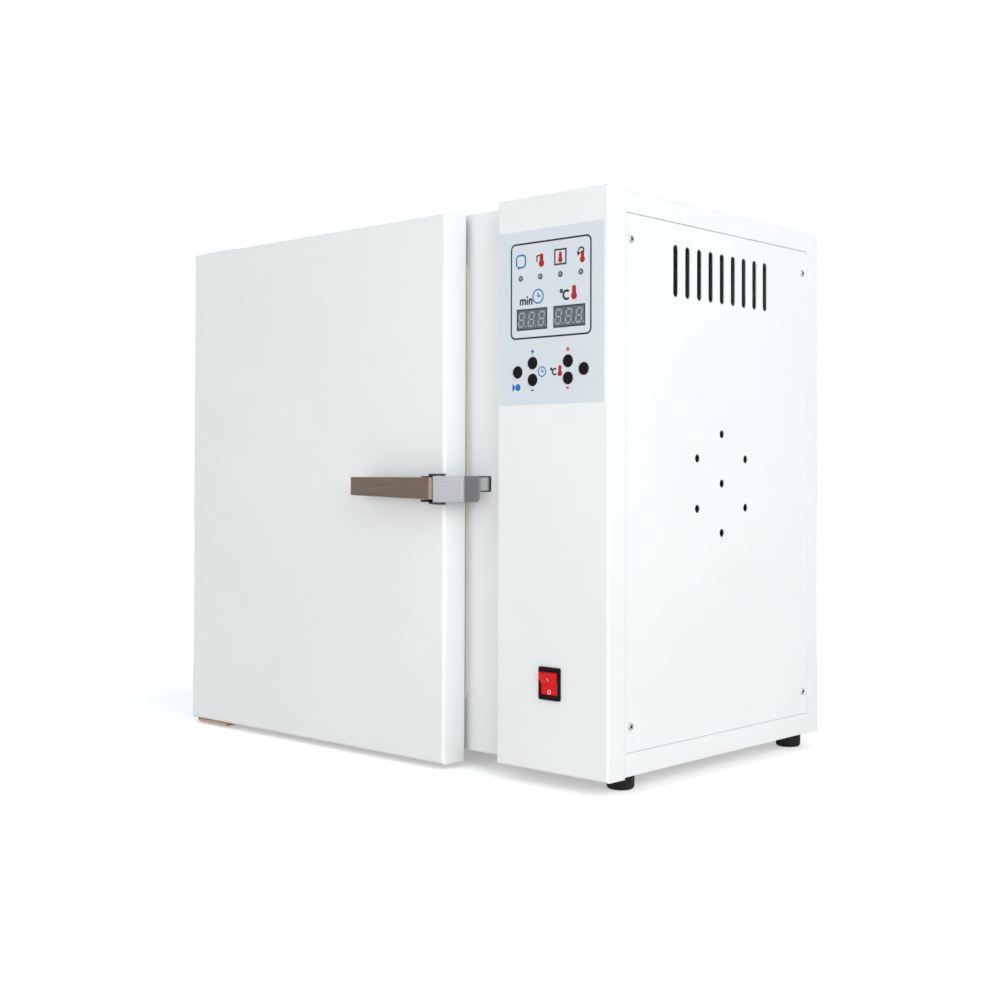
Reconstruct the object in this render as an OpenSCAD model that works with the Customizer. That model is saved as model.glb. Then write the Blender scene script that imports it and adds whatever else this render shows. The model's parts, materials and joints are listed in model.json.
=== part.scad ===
// Bench dry heat sterilizer: a folded steel cabinet on four feet, with an insulated
// stainless chamber on the left, a control column on the right and a side-hung door.
// X runs to the right, Y to the back and Z up. The origin is under the middle of the object.

/* [Cabinet] */
// Width over the sheet steel
body_w = 614; // [580:1:680]
// Height of the case, without its feet
body_h = 536; // [520:1:600]
// Depth from the front frame to the rear cover
body_d = 340; // [330:1:400]
// Thickness of the painted sheet steel
sheet = 1.2; // [0.8:0.1:1.5]
// Outside radius of the folded edges
fold_r = 2.5; // [2:0.1:4]
// Height of the top rail over the side panel
rail_top = 20; // [16:1:40]
// Height of the bottom rail under the side panel
rail_bottom = 21; // [19:1:40]
// Width of the stile behind the side panel
stile_rear = 20; // [16:1:40]
// Depth that the side panel lies below the case
panel_recess = 1.5; // [1.5:0.1:2.5]
// Width of the flanges that carry the side panel and the rear cover
flange_w = 15; // [13:1:20]

/* [Side panel] */
// Distance of the vents and the fan shaft behind the front frame
vent_back = 159; // [150:1:170]
// Number of ventilation slots
slot_count = 9; // [5:1:11]
// Distance between slot centres
slot_pitch = 19.7; // [14:0.1:24]
// Width of a ventilation slot
slot_w = 8; // [4:0.5:10]
// Length of a ventilation slot
slot_l = 50; // [20:1:70]
// Distance of the slots below the panel's top edge
slot_drop = 21; // [15:1:60]
// Radius of the six vent holes' circle round the fan shaft
vent_circle = 49; // [30:1:60]
// Diameter of the round vent holes
vent_d = 8; // [4:0.5:10]
// Distance of the panel screws from the panel's front and rear edges
screw_in = 8.6; // [7:0.1:9]
// Distance of the panel screws from its top and bottom edges
screw_up = 24; // [15:1:60]

/* [Chamber] */
// Inside height
chamber_h = 420; // [380:1:440]
// Inside depth
chamber_d = 290; // [270:1:292]
// Thickness of the stainless sheet
liner_t = 1; // [0.8:0.1:1.2]
// Distance from the case's left side to the chamber's inside
wall_left = 56; // [50:1:60]
// Distance from the chamber's inside to the case's right side
column_in = 228; // [224:1:240]
// Distance from the chamber's inside to the partition
wall_right = 39; // [34:1:44]
// Distance from the chamber's right side to the fan baffle
plenum_d = 34; // [32:1:40]
// Height between shelf runners
runner_pitch = 70; // [60:1:80]
// Number of runners on each side
runner_count = 5; // [5:1:5]
// Width of a runner's ledge
runner_w = 10; // [8:0.5:12]
// Diameter of the shelf wires
wire_d = 3; // [2.5:0.1:4]
// Number of long wires in a shelf
wire_count = 16; // [8:1:20]

/* [Fan and heater] */
// Diameter of the fan wheel
fan_d = 150; // [120:1:160]
// Width of the fan blades
blade_w = 18; // [12:1:20]
// Number of fan blades
blade_count = 12; // [6:1:16]
// Diameter of the fan shaft
shaft_d = 8; // [6:0.5:10]
// Distance of the fan shaft below the chamber's middle
fan_drop = 1.2; // [0:0.1:5]
// Diameter of the heating tube
heater_d = 8; // [6:0.5:9]
// Radius of the heater's rings
heater_r = 96; // [90:1:104]
// Diameter of the motor
motor_d = 78; // [60:1:90]
// Length of the motor
motor_l = 58; // [40:1:80]
// Distance of the motor's bracket from the partition
motor_out = 40; // [30:1:60]

/* [Door] */
// Thickness of the door
door_t = 29.5; // [27:0.5:40]
// Gap between the door and the front frame
door_gap = 6.5; // [5.5:0.1:10]
// Distance of the door inside the case's left side
door_in = 2; // [1:0.5:6]
// Width that the door covers to the right of the chamber
door_lap = 32; // [30:0.5:34]
// Distance that the door hangs below the case
door_low = 10.5; // [8:0.5:11]
// Distance of the door's top below the case's top
door_down = 2.5; // [1:0.1:6]
// Radius of the door's folded edges
door_r = 3.5; // [2:0.1:6]
// Height of the raised field in the door's inner panel
field_h = 4; // [2:0.5:5]
// Distance of the hinge axis from the door's left side
hinge_in = 13; // [12.5:0.1:14]
// Distance of the hinge axis from the door's rear face
hinge_fore = 14.5; // [14:0.1:15]
// Diameter of the hinge pins
hinge_pin_d = 8; // [6:0.5:9]
// Diameter of the hinge bushes
bush_d = 14; // [12:0.5:16]
// Height of the sealing strip
seal_h = 6.2; // [4:0.1:6.2]
// Width of the sealing strip
seal_w = 13; // [10:1:14]
// Distance of the seal's right edge from the chamber's mouth
seal_right = 29; // [25:0.5:30]
// Distance of the seal's left edge from the chamber's mouth
seal_left = 25; // [20:0.5:26]
// Distance of the seal's upper and lower edges from the mouth
seal_over = 19; // [17:0.5:30]

/* [Latch] */
// Distance of the lever's face from the door
lever_out = 24; // [22:0.5:28]
// Length of the lever to the left of its pin
lever_l = 118; // [90:1:160]
// Depth of the lever's channel
lever_d = 9; // [7:0.5:10]
// Height of the lever at its pin
lever_h = 21.7; // [18:0.1:22]
// Rise of the lever's underside towards its tip
lever_rise = 3.3; // [0:0.1:6]
// Thickness of the lever's sheet
lever_t = 1.5; // [1:0.1:2]
// Distance of the pin to the right of the door
latch_pin_x = 7; // [6:0.5:9]
// Distance of the pin in front of the door
latch_pin_y = 14; // [13:0.5:15]
// Diameter of the pin
latch_pin_d = 5; // [4:0.5:6]
// Height of the strap
strap_h = 25.5; // [25.5:0.1:30]
// Thickness of the strap
strap_t = 2.5; // [2:0.1:3]
// Bend radius of the strap
strap_r = 7; // [5:0.5:10]
// Height of the strap's tongue
tongue_h = 13; // [8:0.5:14]
// Distance that the tongue reaches behind the front frame
tongue_in = 9; // [5:0.5:12]
// Width of the slot that takes the tongue
latch_slot_w = 19; // [18:0.5:22]
// Distance of the latch below the door's middle
latch_drop = 0.8; // [0:0.1:5]

/* [Control column] */
// Width of the column cover
cover_w = 136; // [132:1:140]
// Height that the cover stands over the case above and below
cover_over = 2; // [0:0.5:4]
// Depth of the cover
cover_d = 25; // [22:0.5:30]
// Radius of the cover's folded edges
cover_r = 2.5; // [2:0.1:4]
// Width of the keypad overlay
overlay_w = 128.3; // [126:0.1:130]
// Height of the keypad overlay
overlay_h = 164.7; // [150:0.1:180]
// Distance of the overlay below the cover's upper edge
overlay_down = 32.1; // [20:0.1:80]
// Thickness of the overlay
overlay_t = 0.5; // [0.3:0.1:0.8]
// Width of a three-digit display
display_w = 38; // [34:0.5:40]
// Height of a three-digit display
display_h = 20; // [16:0.5:24]
// Distance of the displays' middle above the overlay's lower edge
display_up = 80.4; // [70:0.1:90]
// Distance of each display's middle from the overlay's middle
display_side = 22.8; // [21:0.1:24]
// Height of a digit
digit_h = 14.2; // [10:0.1:15]
// Diameter of a keypad button
button_d = 11.4; // [9:0.1:12]
// Travel of a keypad button
button_travel = 0.8; // [0.3:0.1:1.2]
// Height of a keypad button over the overlay
button_proud = 1; // [0.8:0.1:2]
// Distance of the button pairs from the overlay's middle
pair_side = 21.6; // [20:0.1:23]
// Distance of the outer buttons from the overlay's middle
outer_side = 40.35; // [38:0.1:45]
// Height of the outer buttons above the overlay's lower edge
button_up = 30.9; // [28:0.1:35]
// Distance of the paired buttons above and below the outer ones
pair_rise = 7.9; // [7.5:0.1:9]
// Diameter of an indicator lamp
lamp_d = 3.2; // [3:0.1:4]
// Distance between indicator lamps
lamp_pitch = 24.5; // [18:0.1:26]
// Height of the lamps above the overlay's lower edge
lamp_up = 119.8; // [105:0.1:130]

/* [Power switch] */
// Width of the switch bezel
bezel_w = 25.6; // [24:0.1:30]
// Height of the switch bezel
bezel_h = 30.5; // [29:0.1:34]
// Height of the switch above the cover's lower edge
switch_up = 83; // [60:1:120]
// Height of the bezel over the cover
bezel_t = 2; // [1.5:0.1:3]
// Radius of the rocker round its pivot
rocker_r = 11; // [11:0.1:13.2]
// Half of the angle through which the rocker tips
rocker_tip = 14; // [8:1:14]

/* [Feet and fixings] */
// Height of the rubber feet
foot_h = 16; // [15:1:20]
// Diameter of a foot at the case
foot_d = 28; // [24:1:28]
// Diameter of a foot at the bench
foot_low_d = 26; // [18:1:26]
// Distance of the feet from the edges of the case
foot_in = 22.5; // [20:0.5:26]
// Diameter of the screw heads
head_d = 7.6; // [6:0.1:8]
// Height of the screw heads
head_h = 1.4; // [1:0.1:1.4]
// Diameter of the screw shanks
shank_d = 4; // [3:0.1:4.5]
// Diameter of the cable hole in the gland
gland_bore_d = 9; // [7:0.5:11]
// Height of the gland over the rear cover
gland_out = 18; // [14:1:24]

/* [Clearances] */
// Gap between fixed pieces that slip into each other
fit = 0.2; // [0.1:0.05:0.3]
// Gap between a pin and its bore
run = 0.05; // [0.03:0.01:0.08]
// Gap between pieces that move past each other
slack = 0.3; // [0.3:0.05:0.4]

/* [Hidden] */
$fn = 48;
over = 1;

paint = [0.94, 0.95, 0.96];
stainless = [0.74, 0.75, 0.76];
warm_steel = [0.50, 0.44, 0.39];
black = [0.06, 0.06, 0.07];
overlay_grey = [0.78, 0.83, 0.87];
display_grey = [0.45, 0.48, 0.51];
segment_grey = [0.78, 0.80, 0.82];
red = [0.80, 0.08, 0.07];
silicone = [0.86, 0.83, 0.74];
wool = [0.88, 0.86, 0.78];
board_green = [0.10, 0.35, 0.20];
zinc = [0.66, 0.67, 0.68];
nylon = [0.85, 0.84, 0.80];

// Case
body_x = body_w / 2;
body_z0 = foot_h;
body_z1 = foot_h + body_h;
reach_front = door_gap + door_t + lever_out;
reach_rear = body_d + gland_out;
frame_y = (reach_front - reach_rear) / 2;
rear_y = frame_y + body_d;
wrap_y0 = frame_y + sheet;
wrap_y1 = rear_y - sheet;
open_z0 = body_z0 + rail_bottom;
open_z1 = body_z1 - rail_top;
open_y1 = rear_y - stile_rear;
panel_x1 = body_x - panel_recess;
panel_x0 = panel_x1 - sheet;
flange_x0 = panel_x0 - sheet;
tray_h = 15;

// Chamber
ch_x0 = -body_x + wall_left;
ch_x1 = body_x - column_in;
ch_mid_z = (body_z0 + body_z1) / 2;
ch_z0 = ch_mid_z - chamber_h / 2;
ch_z1 = ch_mid_z + chamber_h / 2;
ch_y0 = wrap_y0;
ch_y1 = ch_y0 + chamber_d;
part_x0 = ch_x1 + wall_right;
part_x1 = part_x0 + sheet;
baffle_x1 = ch_x1 - plenum_d;
baffle_x0 = baffle_x1 - liner_t;
fan_y = frame_y + vent_back;
fan_z = ch_mid_z - fan_drop;
shaft_r = shaft_d / 2;
heater_tube_r = heater_d / 2;
sleeve_r = heater_tube_r + 0.8;
ring_gap = heater_d + 4;
ring_x = ch_x1 - plenum_d / 2;
terminal_angle = 24;
terminal_end = part_x1 + 14;
probe_y = fan_y - 66;
probe_z = ch_z1 - 60;
probe_r = 2.5;
probe_out = 16;
vent_x = (ch_x0 + ch_x1) / 2;
vent_z = ch_z1 - 45;
vent_r = 11;
wool_gap = 0.2;

// Shelves
runner_z0 = ch_mid_z - runner_pitch * (runner_count - 1) / 2;
runner_t = 1.5;
ladder_d = 16;
runner_y0 = ch_y0 + 22;
runner_y1 = ch_y1 - 12;
shelf_x0 = ch_x0 + runner_t + 2;
shelf_x1 = baffle_x0 - runner_t - 2;
shelf_y0 = runner_y0 + 2;
shelf_y1 = runner_y1 - 6;
wire_r = wire_d / 2;

// Door
door_x0 = -body_x + door_in;
door_x1 = ch_x1 + door_lap;
door_y1 = frame_y - door_gap;
door_y0 = door_y1 - door_t;
door_z0 = body_z0 - door_low;
door_z1 = body_z1 - door_down;
pin_x = door_x0 + hinge_in;
pin_y = door_y1 - hinge_fore;
hinge_t = 3;
hinge_top_t = 1.6;
sunk_h = 1.3;
hinge_gap = 0.5;
hinge_wing = 25;
hinge_l = 51;
hinge_pin_in = 14;
hinge_screw_in = 18;
hinge_screw_pitch = 16;
hinge_edge = 10;
bush_l = hinge_pin_in + 2;
bush_flange_t = 0.4;
lip_w = 12;
field_in = 5;

// Latch
lpin = [door_x1 + latch_pin_x, door_y0 - latch_pin_y];
latch_z = (door_z0 + door_z1) / 2 - latch_drop;
lever_y0 = door_y0 - lever_out;
lever_y1 = lever_y0 + lever_d;
lever_x0 = lpin.x - lever_l;
lever_end_r = 6.5;
lever_x1 = lpin.x - 0.5;
lever_top = latch_z + 11.45;
lug_t = 1.2;
lug_r = 4.7;
strap_z0 = latch_z - strap_h / 2;
strap_z1 = latch_z + strap_h / 2;
slot_x0 = part_x1 + 2.3;
slot_x1 = slot_x0 + latch_slot_w;
tongue_x1 = slot_x1 - 1.9;
strap_a = [lpin.x + 1, lever_y0];
strap_b = [tongue_x1, lpin.y + 13];
strap_angle = atan2(strap_b.y - strap_a.y, strap_b.x - strap_a.x);
strap_u = [cos(strap_angle), sin(strap_angle)];
strap_n = [-strap_u.y, strap_u.x];
strap_y1 = lpin.y + 35.8;
tongue_z1 = latch_z + 11.5;
tongue_z0 = tongue_z1 - tongue_h;
tongue_y1 = frame_y + tongue_in;
slot_z_gap = 1.2;
ear_t = 2;
ear_r = 6;
ear_z = strap_h / 2 + slack;
hub_x0 = lpin.x - 16;
hub_x1 = lpin.x - lug_r - 0.5;
hub_back = 2.4;
bracket_t = 2;

// Control column
cover_x0 = body_x - cover_w;
cover_y0 = frame_y - cover_d;
cover_z0 = body_z0 - cover_over;
cover_z1 = body_z1 + cover_over;
overlay_x = (cover_x0 + body_x) / 2 - 0.7;
overlay_z0 = cover_z1 - overlay_down - overlay_h;
overlay_y0 = cover_y0 - overlay_t;
button_z = overlay_z0 + button_up;
display_z = overlay_z0 + display_up;
lamp_z = overlay_z0 + lamp_up;
board_y = cover_y0 + 12;
board_t = 1.6;
board_in = 8;
key_h = 3.5;
flange_out = 1.2;
window_in = 9;
film_r = 1.2;
BUTTONS = [
    [-outer_side, 0],
    [-pair_side, pair_rise],
    [-pair_side, -pair_rise],
    [pair_side, pair_rise],
    [pair_side, -pair_rise],
    [outer_side, 0]
];
LAMPS = [for (i = [-1.5:1:1.5]) i * lamp_pitch];
switch_x = (cover_x0 + body_x) / 2;
switch_z = cover_z0 + switch_up;
rocker_w = bezel_w - 5.6;
pivot_y = cover_y0 - bezel_t + 2.6;
switch_d = 22;
switch_half = [rocker_w / 2 + slack + 1.2, rocker_r + slack + 1.2];

// Feet and fixings
tread_h = 2;
FEET = [
    for (x = [-1, 1])
        for (y = [frame_y + foot_in, rear_y - foot_in])
            [x * (body_x - foot_in), y]
];
PANEL_SCREWS = [
    for (y = [wrap_y0 + screw_in, open_y1 - screw_in])
        for (z = [open_z0 + screw_up, open_z1 - screw_up])
            [y, z]
];
REAR_SCREWS = [
    for (x = [-body_x + 9, -body_x / 3, body_x / 3, body_x - 9])
        for (z = [body_z0 + 9, body_z1 - 9])
            [x, z]
];
head_r = head_d / 2;
shank_r = shank_d / 2;
LOWER_HINGE_SCREWS = [
    for (i = [0:2])
        [pin_x + hinge_l - hinge_wing / 2, frame_y + hinge_screw_in + i * hinge_screw_pitch]
];
UPPER_HINGE_SCREWS = [
    for (x = [pin_x + 4, pin_x + hinge_l - hinge_edge - 4])
        [x, frame_y + hinge_screw_in]
];
LINER_SCREWS = [
    for (x = [door_x0 + 7, door_x1 - 7])
        for (z = [door_z0 + 40, (door_z0 + door_z1) / 2, door_z1 - 40])
            [x, z]
];
gland_x = body_x - 58;
gland_z = body_z0 + 46;
gland_r = 9;
gland_nut_r = gland_r + 4;
fuse_z = gland_z + 44;
fuse_r = 6;

// Parts in the control compartment
heater_y1 = fan_y + (heater_r + sleeve_r) * sin(terminal_angle);
thermostat_r = 17;
thermostat_h = 27;
thermostat_stem = 6;
thermostat_down = 33;
relay = [28, 58, 62];
relay_at = [part_x1, wrap_y0 + 45.8, body_z0 + 70];
terminal_ways = 6;
terminal_way = 14;
terminal_wall = 2;
terminal_d = 22;
terminal_h = 20;
terminal_in = 50;
terminal_back = 40;
terminal_at = [part_x1 + terminal_in, fan_y + terminal_back, body_z0 + sheet];

// Shapes

// Box between two corners
module block(a, b) {
    translate(a) cube(b - a);
}

module rod_x(at, l, r) {
    translate(at) rotate([0, 90, 0]) cylinder(h = l, r = r);
}

module rod_y(at, l, r) {
    translate(at) rotate([-90, 0, 0]) cylinder(h = l, r = r);
}

module rod_z(at, l, r) {
    translate(at) cylinder(h = l, r = r);
}

// An outline drawn in X and Z, pulled along Y
module prism_y(y0, y1) {
    translate([0, y1, 0]) rotate([90, 0, 0]) linear_extrude(y1 - y0) children();
}

// An outline drawn in Y and Z, pulled along X
module prism_x(x0, x1) {
    translate([x0, 0, 0]) rotate([90, 0, 90]) linear_extrude(x1 - x0) children();
}

// An outline drawn in X and Y, pulled along Z
module prism_z(z0, z1) {
    translate([0, 0, z0]) linear_extrude(z1 - z0) children();
}

module rect(a, b) {
    translate(a) square(b - a);
}

module round_rect(a, b, r) {
    rect([a.x + r, a.y], [b.x - r, b.y]);
    rect([a.x, a.y + r], [b.x, b.y - r]);
    for (x = [a.x + r, b.x - r])
        for (y = [a.y + r, b.y - r])
            translate([x, y]) circle(r);
}

// A slot with round ends, standing on end
module slot_2d(middle, w, l) {
    for (s = [-1, 1])
        translate([middle.x, middle.y + s * (l - w) / 2]) circle(w / 2);
    rect(middle - [w / 2, (l - w) / 2], middle + [w / 2, (l - w) / 2]);
}

// A box whose four front edges are folded with a radius
module front_rounded(a, b, r) {
    intersection() {
        prism_z(a.z, b.z) {
            rect([a.x, a.y + r], [b.x, b.y]);
            rect([a.x + r, a.y], [b.x - r, b.y]);
            for (x = [a.x + r, b.x - r])
                translate([x, a.y + r]) circle(r);
        }
        prism_x(a.x, b.x) {
            rect([a.y + r, a.z], [b.y, b.z]);
            rect([a.y, a.z + r], [b.y, b.z - r]);
            for (z = [a.z + r, b.z - r])
                translate([a.y + r, z]) circle(r);
        }
    }
}

// Pan head screw whose head stands on a face and whose shank points along +Z
module screw(l) {
    translate([0, 0, -head_h]) cylinder(h = head_h, r = head_r);
    cylinder(h = l, r = shank_r);
}

// Case

// Outline of the folded case, drawn in X and Z
module case_outline(inset) {
    r = fold_r - inset;
    x = body_x - inset;
    z0 = body_z0 - (inset > 0 ? over : 0);
    z1 = body_z1 - inset;
    rect([-x, z0], [x, z1 - r]);
    rect([-x + r, z0], [x - r, z1]);
    for (s = [-1, 1])
        translate([s * (x - r), z1 - r]) circle(r);
}

module panel_screw_holes(x0, x1) {
    for (p = PANEL_SCREWS)
        rod_x([x0, p.x, p.y], x1 - x0, shank_r + fit);
}

// Left wall, top and right wall in one folded sheet
module case_wrap() {
    color(paint) difference() {
        union() {
            difference() {
                prism_y(wrap_y0, wrap_y1) difference() {
                    case_outline(0);
                    case_outline(sheet);
                }
                block([body_x - sheet - over, wrap_y0 - over, open_z0], [body_x + over, open_y1, open_z1]);
            }
            sunk_flange();
            rear_flange();
        }
        panel_screw_holes(flange_x0 - over, panel_x0 + over);
        rear_screw_holes();
        for (p = UPPER_HINGE_SCREWS)
            rod_z([p.x, p.y, body_z1 - sheet - over], sheet + 2 * over, shank_r + fit);
    }
}

// The flange that the side panel lies on, sunk below the case's right side
module sunk_flange() {
    difference() {
        block([flange_x0, wrap_y0, open_z0 - sheet], [body_x, open_y1 + sheet, open_z1 + sheet]);
        block([panel_x0, wrap_y0 - over, open_z0], [body_x + over, open_y1, open_z1]);
        block(
            [flange_x0 - over, wrap_y0 + flange_w, open_z0 + flange_w],
            [body_x + over, open_y1 - flange_w, open_z1 - flange_w]
        );
    }
}

// The flange at the back of the case, which takes the rear cover's screws
module rear_flange() {
    prism_y(wrap_y1 - sheet, wrap_y1) difference() {
        case_outline(sheet / 2);
        rect([-body_x + flange_w, body_z0 - 2 * over], [body_x - flange_w, body_z1 - flange_w]);
        rect([-body_x, body_z0 - 2 * over], [body_x, body_z0 + tray_h + sheet]);
    }
}

module rear_screw_holes() {
    for (p = REAR_SCREWS)
        rod_y([p.x, wrap_y1 - 3 * sheet, p.y], 4 * sheet + over, shank_r + fit);
}

// Bottom of the case, a tray with its rim turned up inside the walls
module base_tray() {
    x = body_x - sheet - fit;
    y0 = wrap_y0 + fit;
    y1 = wrap_y1;
    color(paint) difference() {
        block([-x, y0, body_z0], [x, y1, body_z0 + tray_h]);
        block([-x + sheet, y0 + sheet, body_z0 + sheet], [x - sheet, y1 - sheet, body_z0 + tray_h + over]);
        for (p = FEET)
            rod_z([p.x, p.y, body_z0 - over], sheet + 2 * over, shank_r + fit);
        for (p = LOWER_HINGE_SCREWS)
            rod_z([p.x, p.y, body_z0 - over], sheet + 2 * over, shank_r + fit);
        rear_screw_holes();
    }
}

module rear_cover() {
    color(paint) difference() {
        prism_y(wrap_y1, rear_y) case_outline(0);
        rear_screw_holes();
        rod_y([vent_x, wrap_y1 - over, vent_z], sheet + 2 * over, vent_r + fit);
        rod_y([gland_x, wrap_y1 - over, gland_z], sheet + 2 * over, gland_r + fit);
        rod_y([gland_x, wrap_y1 - over, fuse_z], sheet + 2 * over, fuse_r + fit);
    }
}

// Front plate of the case, with the chamber's mouth, the latch slot and the cable window
module front_frame() {
    color(paint) prism_y(frame_y, wrap_y0) difference() {
        case_outline(0);
        rect([ch_x0, ch_z0], [ch_x1, ch_z1]);
        latch_slot();
        rect([cover_x0 + window_in, body_z0 + 30], [body_x - window_in - sheet, body_z1 - 30]);
    }
}

module latch_slot() {
    rect([slot_x0, tongue_z0 - slot_z_gap], [slot_x1, tongue_z1 + slot_z_gap]);
}

// Removable service panel with the ventilation slots and the fan motor's vent holes
module side_panel() {
    slots_z = open_z1 - slot_drop - slot_l / 2;
    color(paint) prism_x(panel_x0, panel_x1) difference() {
        rect([wrap_y0 + fit, open_z0 + fit], [open_y1 - fit, open_z1 - fit]);
        for (i = [0:slot_count - 1])
            slot_2d([fan_y + (i - (slot_count - 1) / 2) * slot_pitch, slots_z], slot_w, slot_l);
        translate([fan_y, fan_z]) {
            circle(vent_d / 2);
            for (i = [0:5])
                rotate(30 + 60 * i) translate([vent_circle, 0]) circle(vent_d / 2);
        }
        for (p = PANEL_SCREWS)
            translate(p) circle(shank_r + fit);
    }
}

// Wall between the chamber's insulation and the control compartment
module partition_wall() {
    y0 = wrap_y0 + sheet + 2 * fit;
    y1 = wrap_y1 - sheet - fit;
    z0 = body_z0 + sheet + fit;
    z1 = body_z1 - sheet - fit;
    foot = 12;
    color(zinc) difference() {
        union() {
            block([part_x0, y0, z0], [part_x1, y1, z1]);
            block([part_x0, y0, z0], [part_x1 + foot, y1, z0 + sheet]);
            block([part_x0, y0, z1 - sheet], [part_x1 + foot, y1, z1]);
        }
        wall_holes(part_x0 - over, part_x1 + over);
    }
}

// Holes for the fan shaft, the heater's ends and the probe, through a wall between two places in X
module wall_holes(x0, x1) {
    rod_x([x0, fan_y, fan_z], x1 - x0, shaft_r + 2);
    rod_x([x0, probe_y, probe_z], x1 - x0, probe_r + fit);
    for (half_gap = [terminal_angle / 2, terminal_angle])
        for (s = [-1, 1])
            rod_x(concat(x0, heater_end(half_gap, s)), x1 - x0, sleeve_r + fit);
}

// Place in Y and Z of a heater ring's end
function heater_end(half_gap, s) =
    [fan_y + s * heater_r * sin(half_gap), fan_z - heater_r * cos(half_gap)];

// Chamber and its parts

module chamber() {
    t = liner_t;
    rim = 14;
    color(stainless) difference() {
        union() {
            block([ch_x0 - t, ch_y0, ch_z0 - t], [ch_x1 + t, ch_y1 + t, ch_z1 + t]);
            block([ch_x0 - rim, ch_y0, ch_z0 - rim], [ch_x1 + rim, ch_y0 + t, ch_z1 + rim]);
        }
        block([ch_x0, ch_y0 - over, ch_z0], [ch_x1, ch_y1, ch_z1]);
        wall_holes(ch_x1 - over, ch_x1 + t + over);
        rod_y([vent_x, ch_y1 - over, vent_z], t + 2 * over, vent_r + fit);
    }
}

// Mineral wool round the chamber's five walls
module insulation() {
    t = liner_t + wool_gap;
    x0 = -body_x + 2 * sheet + fit + wool_gap;
    y0 = wrap_y0 + sheet + fit + wool_gap;
    y1 = wrap_y1 - sheet - 8;
    z0 = body_z0 + sheet + 8;
    z1 = body_z1 - sheet - 6;
    color(wool) difference() {
        block([x0, y0, z0], [part_x0 - wool_gap, y1, z1]);
        block([ch_x0 - t, y0 - over, ch_z0 - t], [ch_x1 + t, ch_y1 + t, ch_z1 + t]);
        wall_holes(ch_x1, part_x0 + over);
        rod_y([vent_x, ch_y1, vent_z], y1 - ch_y1 + over, vent_r + fit);
    }
}

// Section of the silicone seal, from its outer edge inwards and from the frame outwards
module seal_section() {
    bulb_r = (seal_w - 4) / 2;
    rect([0, 0], [seal_w, 1.6]);
    intersection() {
        rect([0, 0], [seal_w, seal_h]);
        union() {
            translate([seal_w / 2, seal_h - bulb_r]) circle(bulb_r);
            rect([2, 0], [seal_w - 2, max(1.7, seal_h - bulb_r)]);
        }
    }
}

// Seal round the chamber's mouth, with turned corners
module door_seal() {
    r = 22;
    a = [ch_x0 - seal_left, ch_z0 - seal_over];
    b = [ch_x1 + seal_right, ch_z1 + seal_over];
    color(silicone) translate([0, frame_y, 0]) rotate([90, 0, 0]) {
        translate([a.x + r, a.y, 0]) rotate([90, 0, 90]) linear_extrude(b.x - a.x - 2 * r) seal_section();
        translate([a.x + r, b.y, 0]) mirror([0, 1, 0])
            rotate([90, 0, 90]) linear_extrude(b.x - a.x - 2 * r) seal_section();
        translate([a.x, b.y - r, 0]) rotate([90, 0, 0]) linear_extrude(b.y - a.y - 2 * r) seal_section();
        translate([b.x, b.y - r, 0]) mirror([1, 0, 0])
            rotate([90, 0, 0]) linear_extrude(b.y - a.y - 2 * r) seal_section();
        corners = [
            [a.x + r, a.y + r, 180], [b.x - r, a.y + r, 270],
            [b.x - r, b.y - r, 0], [a.x + r, b.y - r, 90]
        ];
        for (c = corners)
            translate([c.x, c.y, 0]) rotate(c.z)
                rotate_extrude(angle = 90) translate([r, 0]) mirror([1, 0]) seal_section();
    }
}

// One ring of heating tube, open at the bottom, with cold sleeves that lead its ends out
module heater_ring(x, half_gap) {
    translate([x, fan_y, fan_z]) rotate([0, 90, 0]) {
        rotate(half_gap) rotate_extrude(angle = 360 - 2 * half_gap)
            translate([heater_r, 0]) circle(heater_tube_r);
        for (s = [-1, 1])
            rotate(s * half_gap) translate([heater_r, 0, -sleeve_r])
                cylinder(h = terminal_end - x + sleeve_r, r = sleeve_r);
    }
}

module heating_element() {
    color(warm_steel) {
        heater_ring(ring_x - ring_gap / 2, terminal_angle / 2);
        heater_ring(ring_x + ring_gap / 2, terminal_angle);
    }
}

// Perforated panel that hides the fan and turns the air round the chamber
module fan_baffle() {
    y0 = ch_y0 + 10;
    z0 = ch_z0 + fit;
    z1 = ch_z1 - fit;
    color(stainless) {
        prism_x(baffle_x0, baffle_x1) difference() {
            rect([y0, z0], [ch_y1 - fit, z1]);
            translate([fan_y, fan_z]) {
                circle(4.5);
                for (ring = [1:3])
                    for (i = [0:6 * ring - 1])
                        rotate(i * 60 / ring) translate([15 * ring, 0]) circle(4.5);
            }
            for (y = [y0 + 14, y0 + 26, ch_y1 - 26, ch_y1 - 14])
                for (i = [-3:3])
                    slot_2d([y, ch_mid_z + i * chamber_h / 7.6], 6, 34);
            translate([probe_y, probe_z]) circle(probe_r + fit);
        }
        block([baffle_x0, y0, z0], [ch_x1 - fit, y0 + liner_t, z1]);
    }
}

// Side ladder with folded ledges for the shelves, as seen on the left
module ladder() {
    x0 = ch_x0 + fit;
    x1 = x0 + runner_t;
    z1 = runner_z0 + runner_pitch * (runner_count - 1);
    for (y = [runner_y0 + 30, runner_y1 - 30 - ladder_d])
        block([x0, y, runner_z0 - 24], [x1, y + ladder_d, z1 + 24]);
    for (i = [0:runner_count - 1]) {
        z = runner_z0 + i * runner_pitch;
        block([x0, runner_y0, z - 12], [x1, runner_y1, z]);
        block([x0, runner_y0, z - runner_t], [x1 + runner_w, runner_y1, z]);
        block([x0, runner_y1 - runner_t, z - runner_t], [x1 + runner_w, runner_y1, z + 9]);
    }
}

module shelf_runners() {
    color(stainless) {
        ladder();
        translate([ch_x0 + baffle_x0, 0, 0]) mirror([1, 0, 0]) ladder();
    }
}

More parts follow.
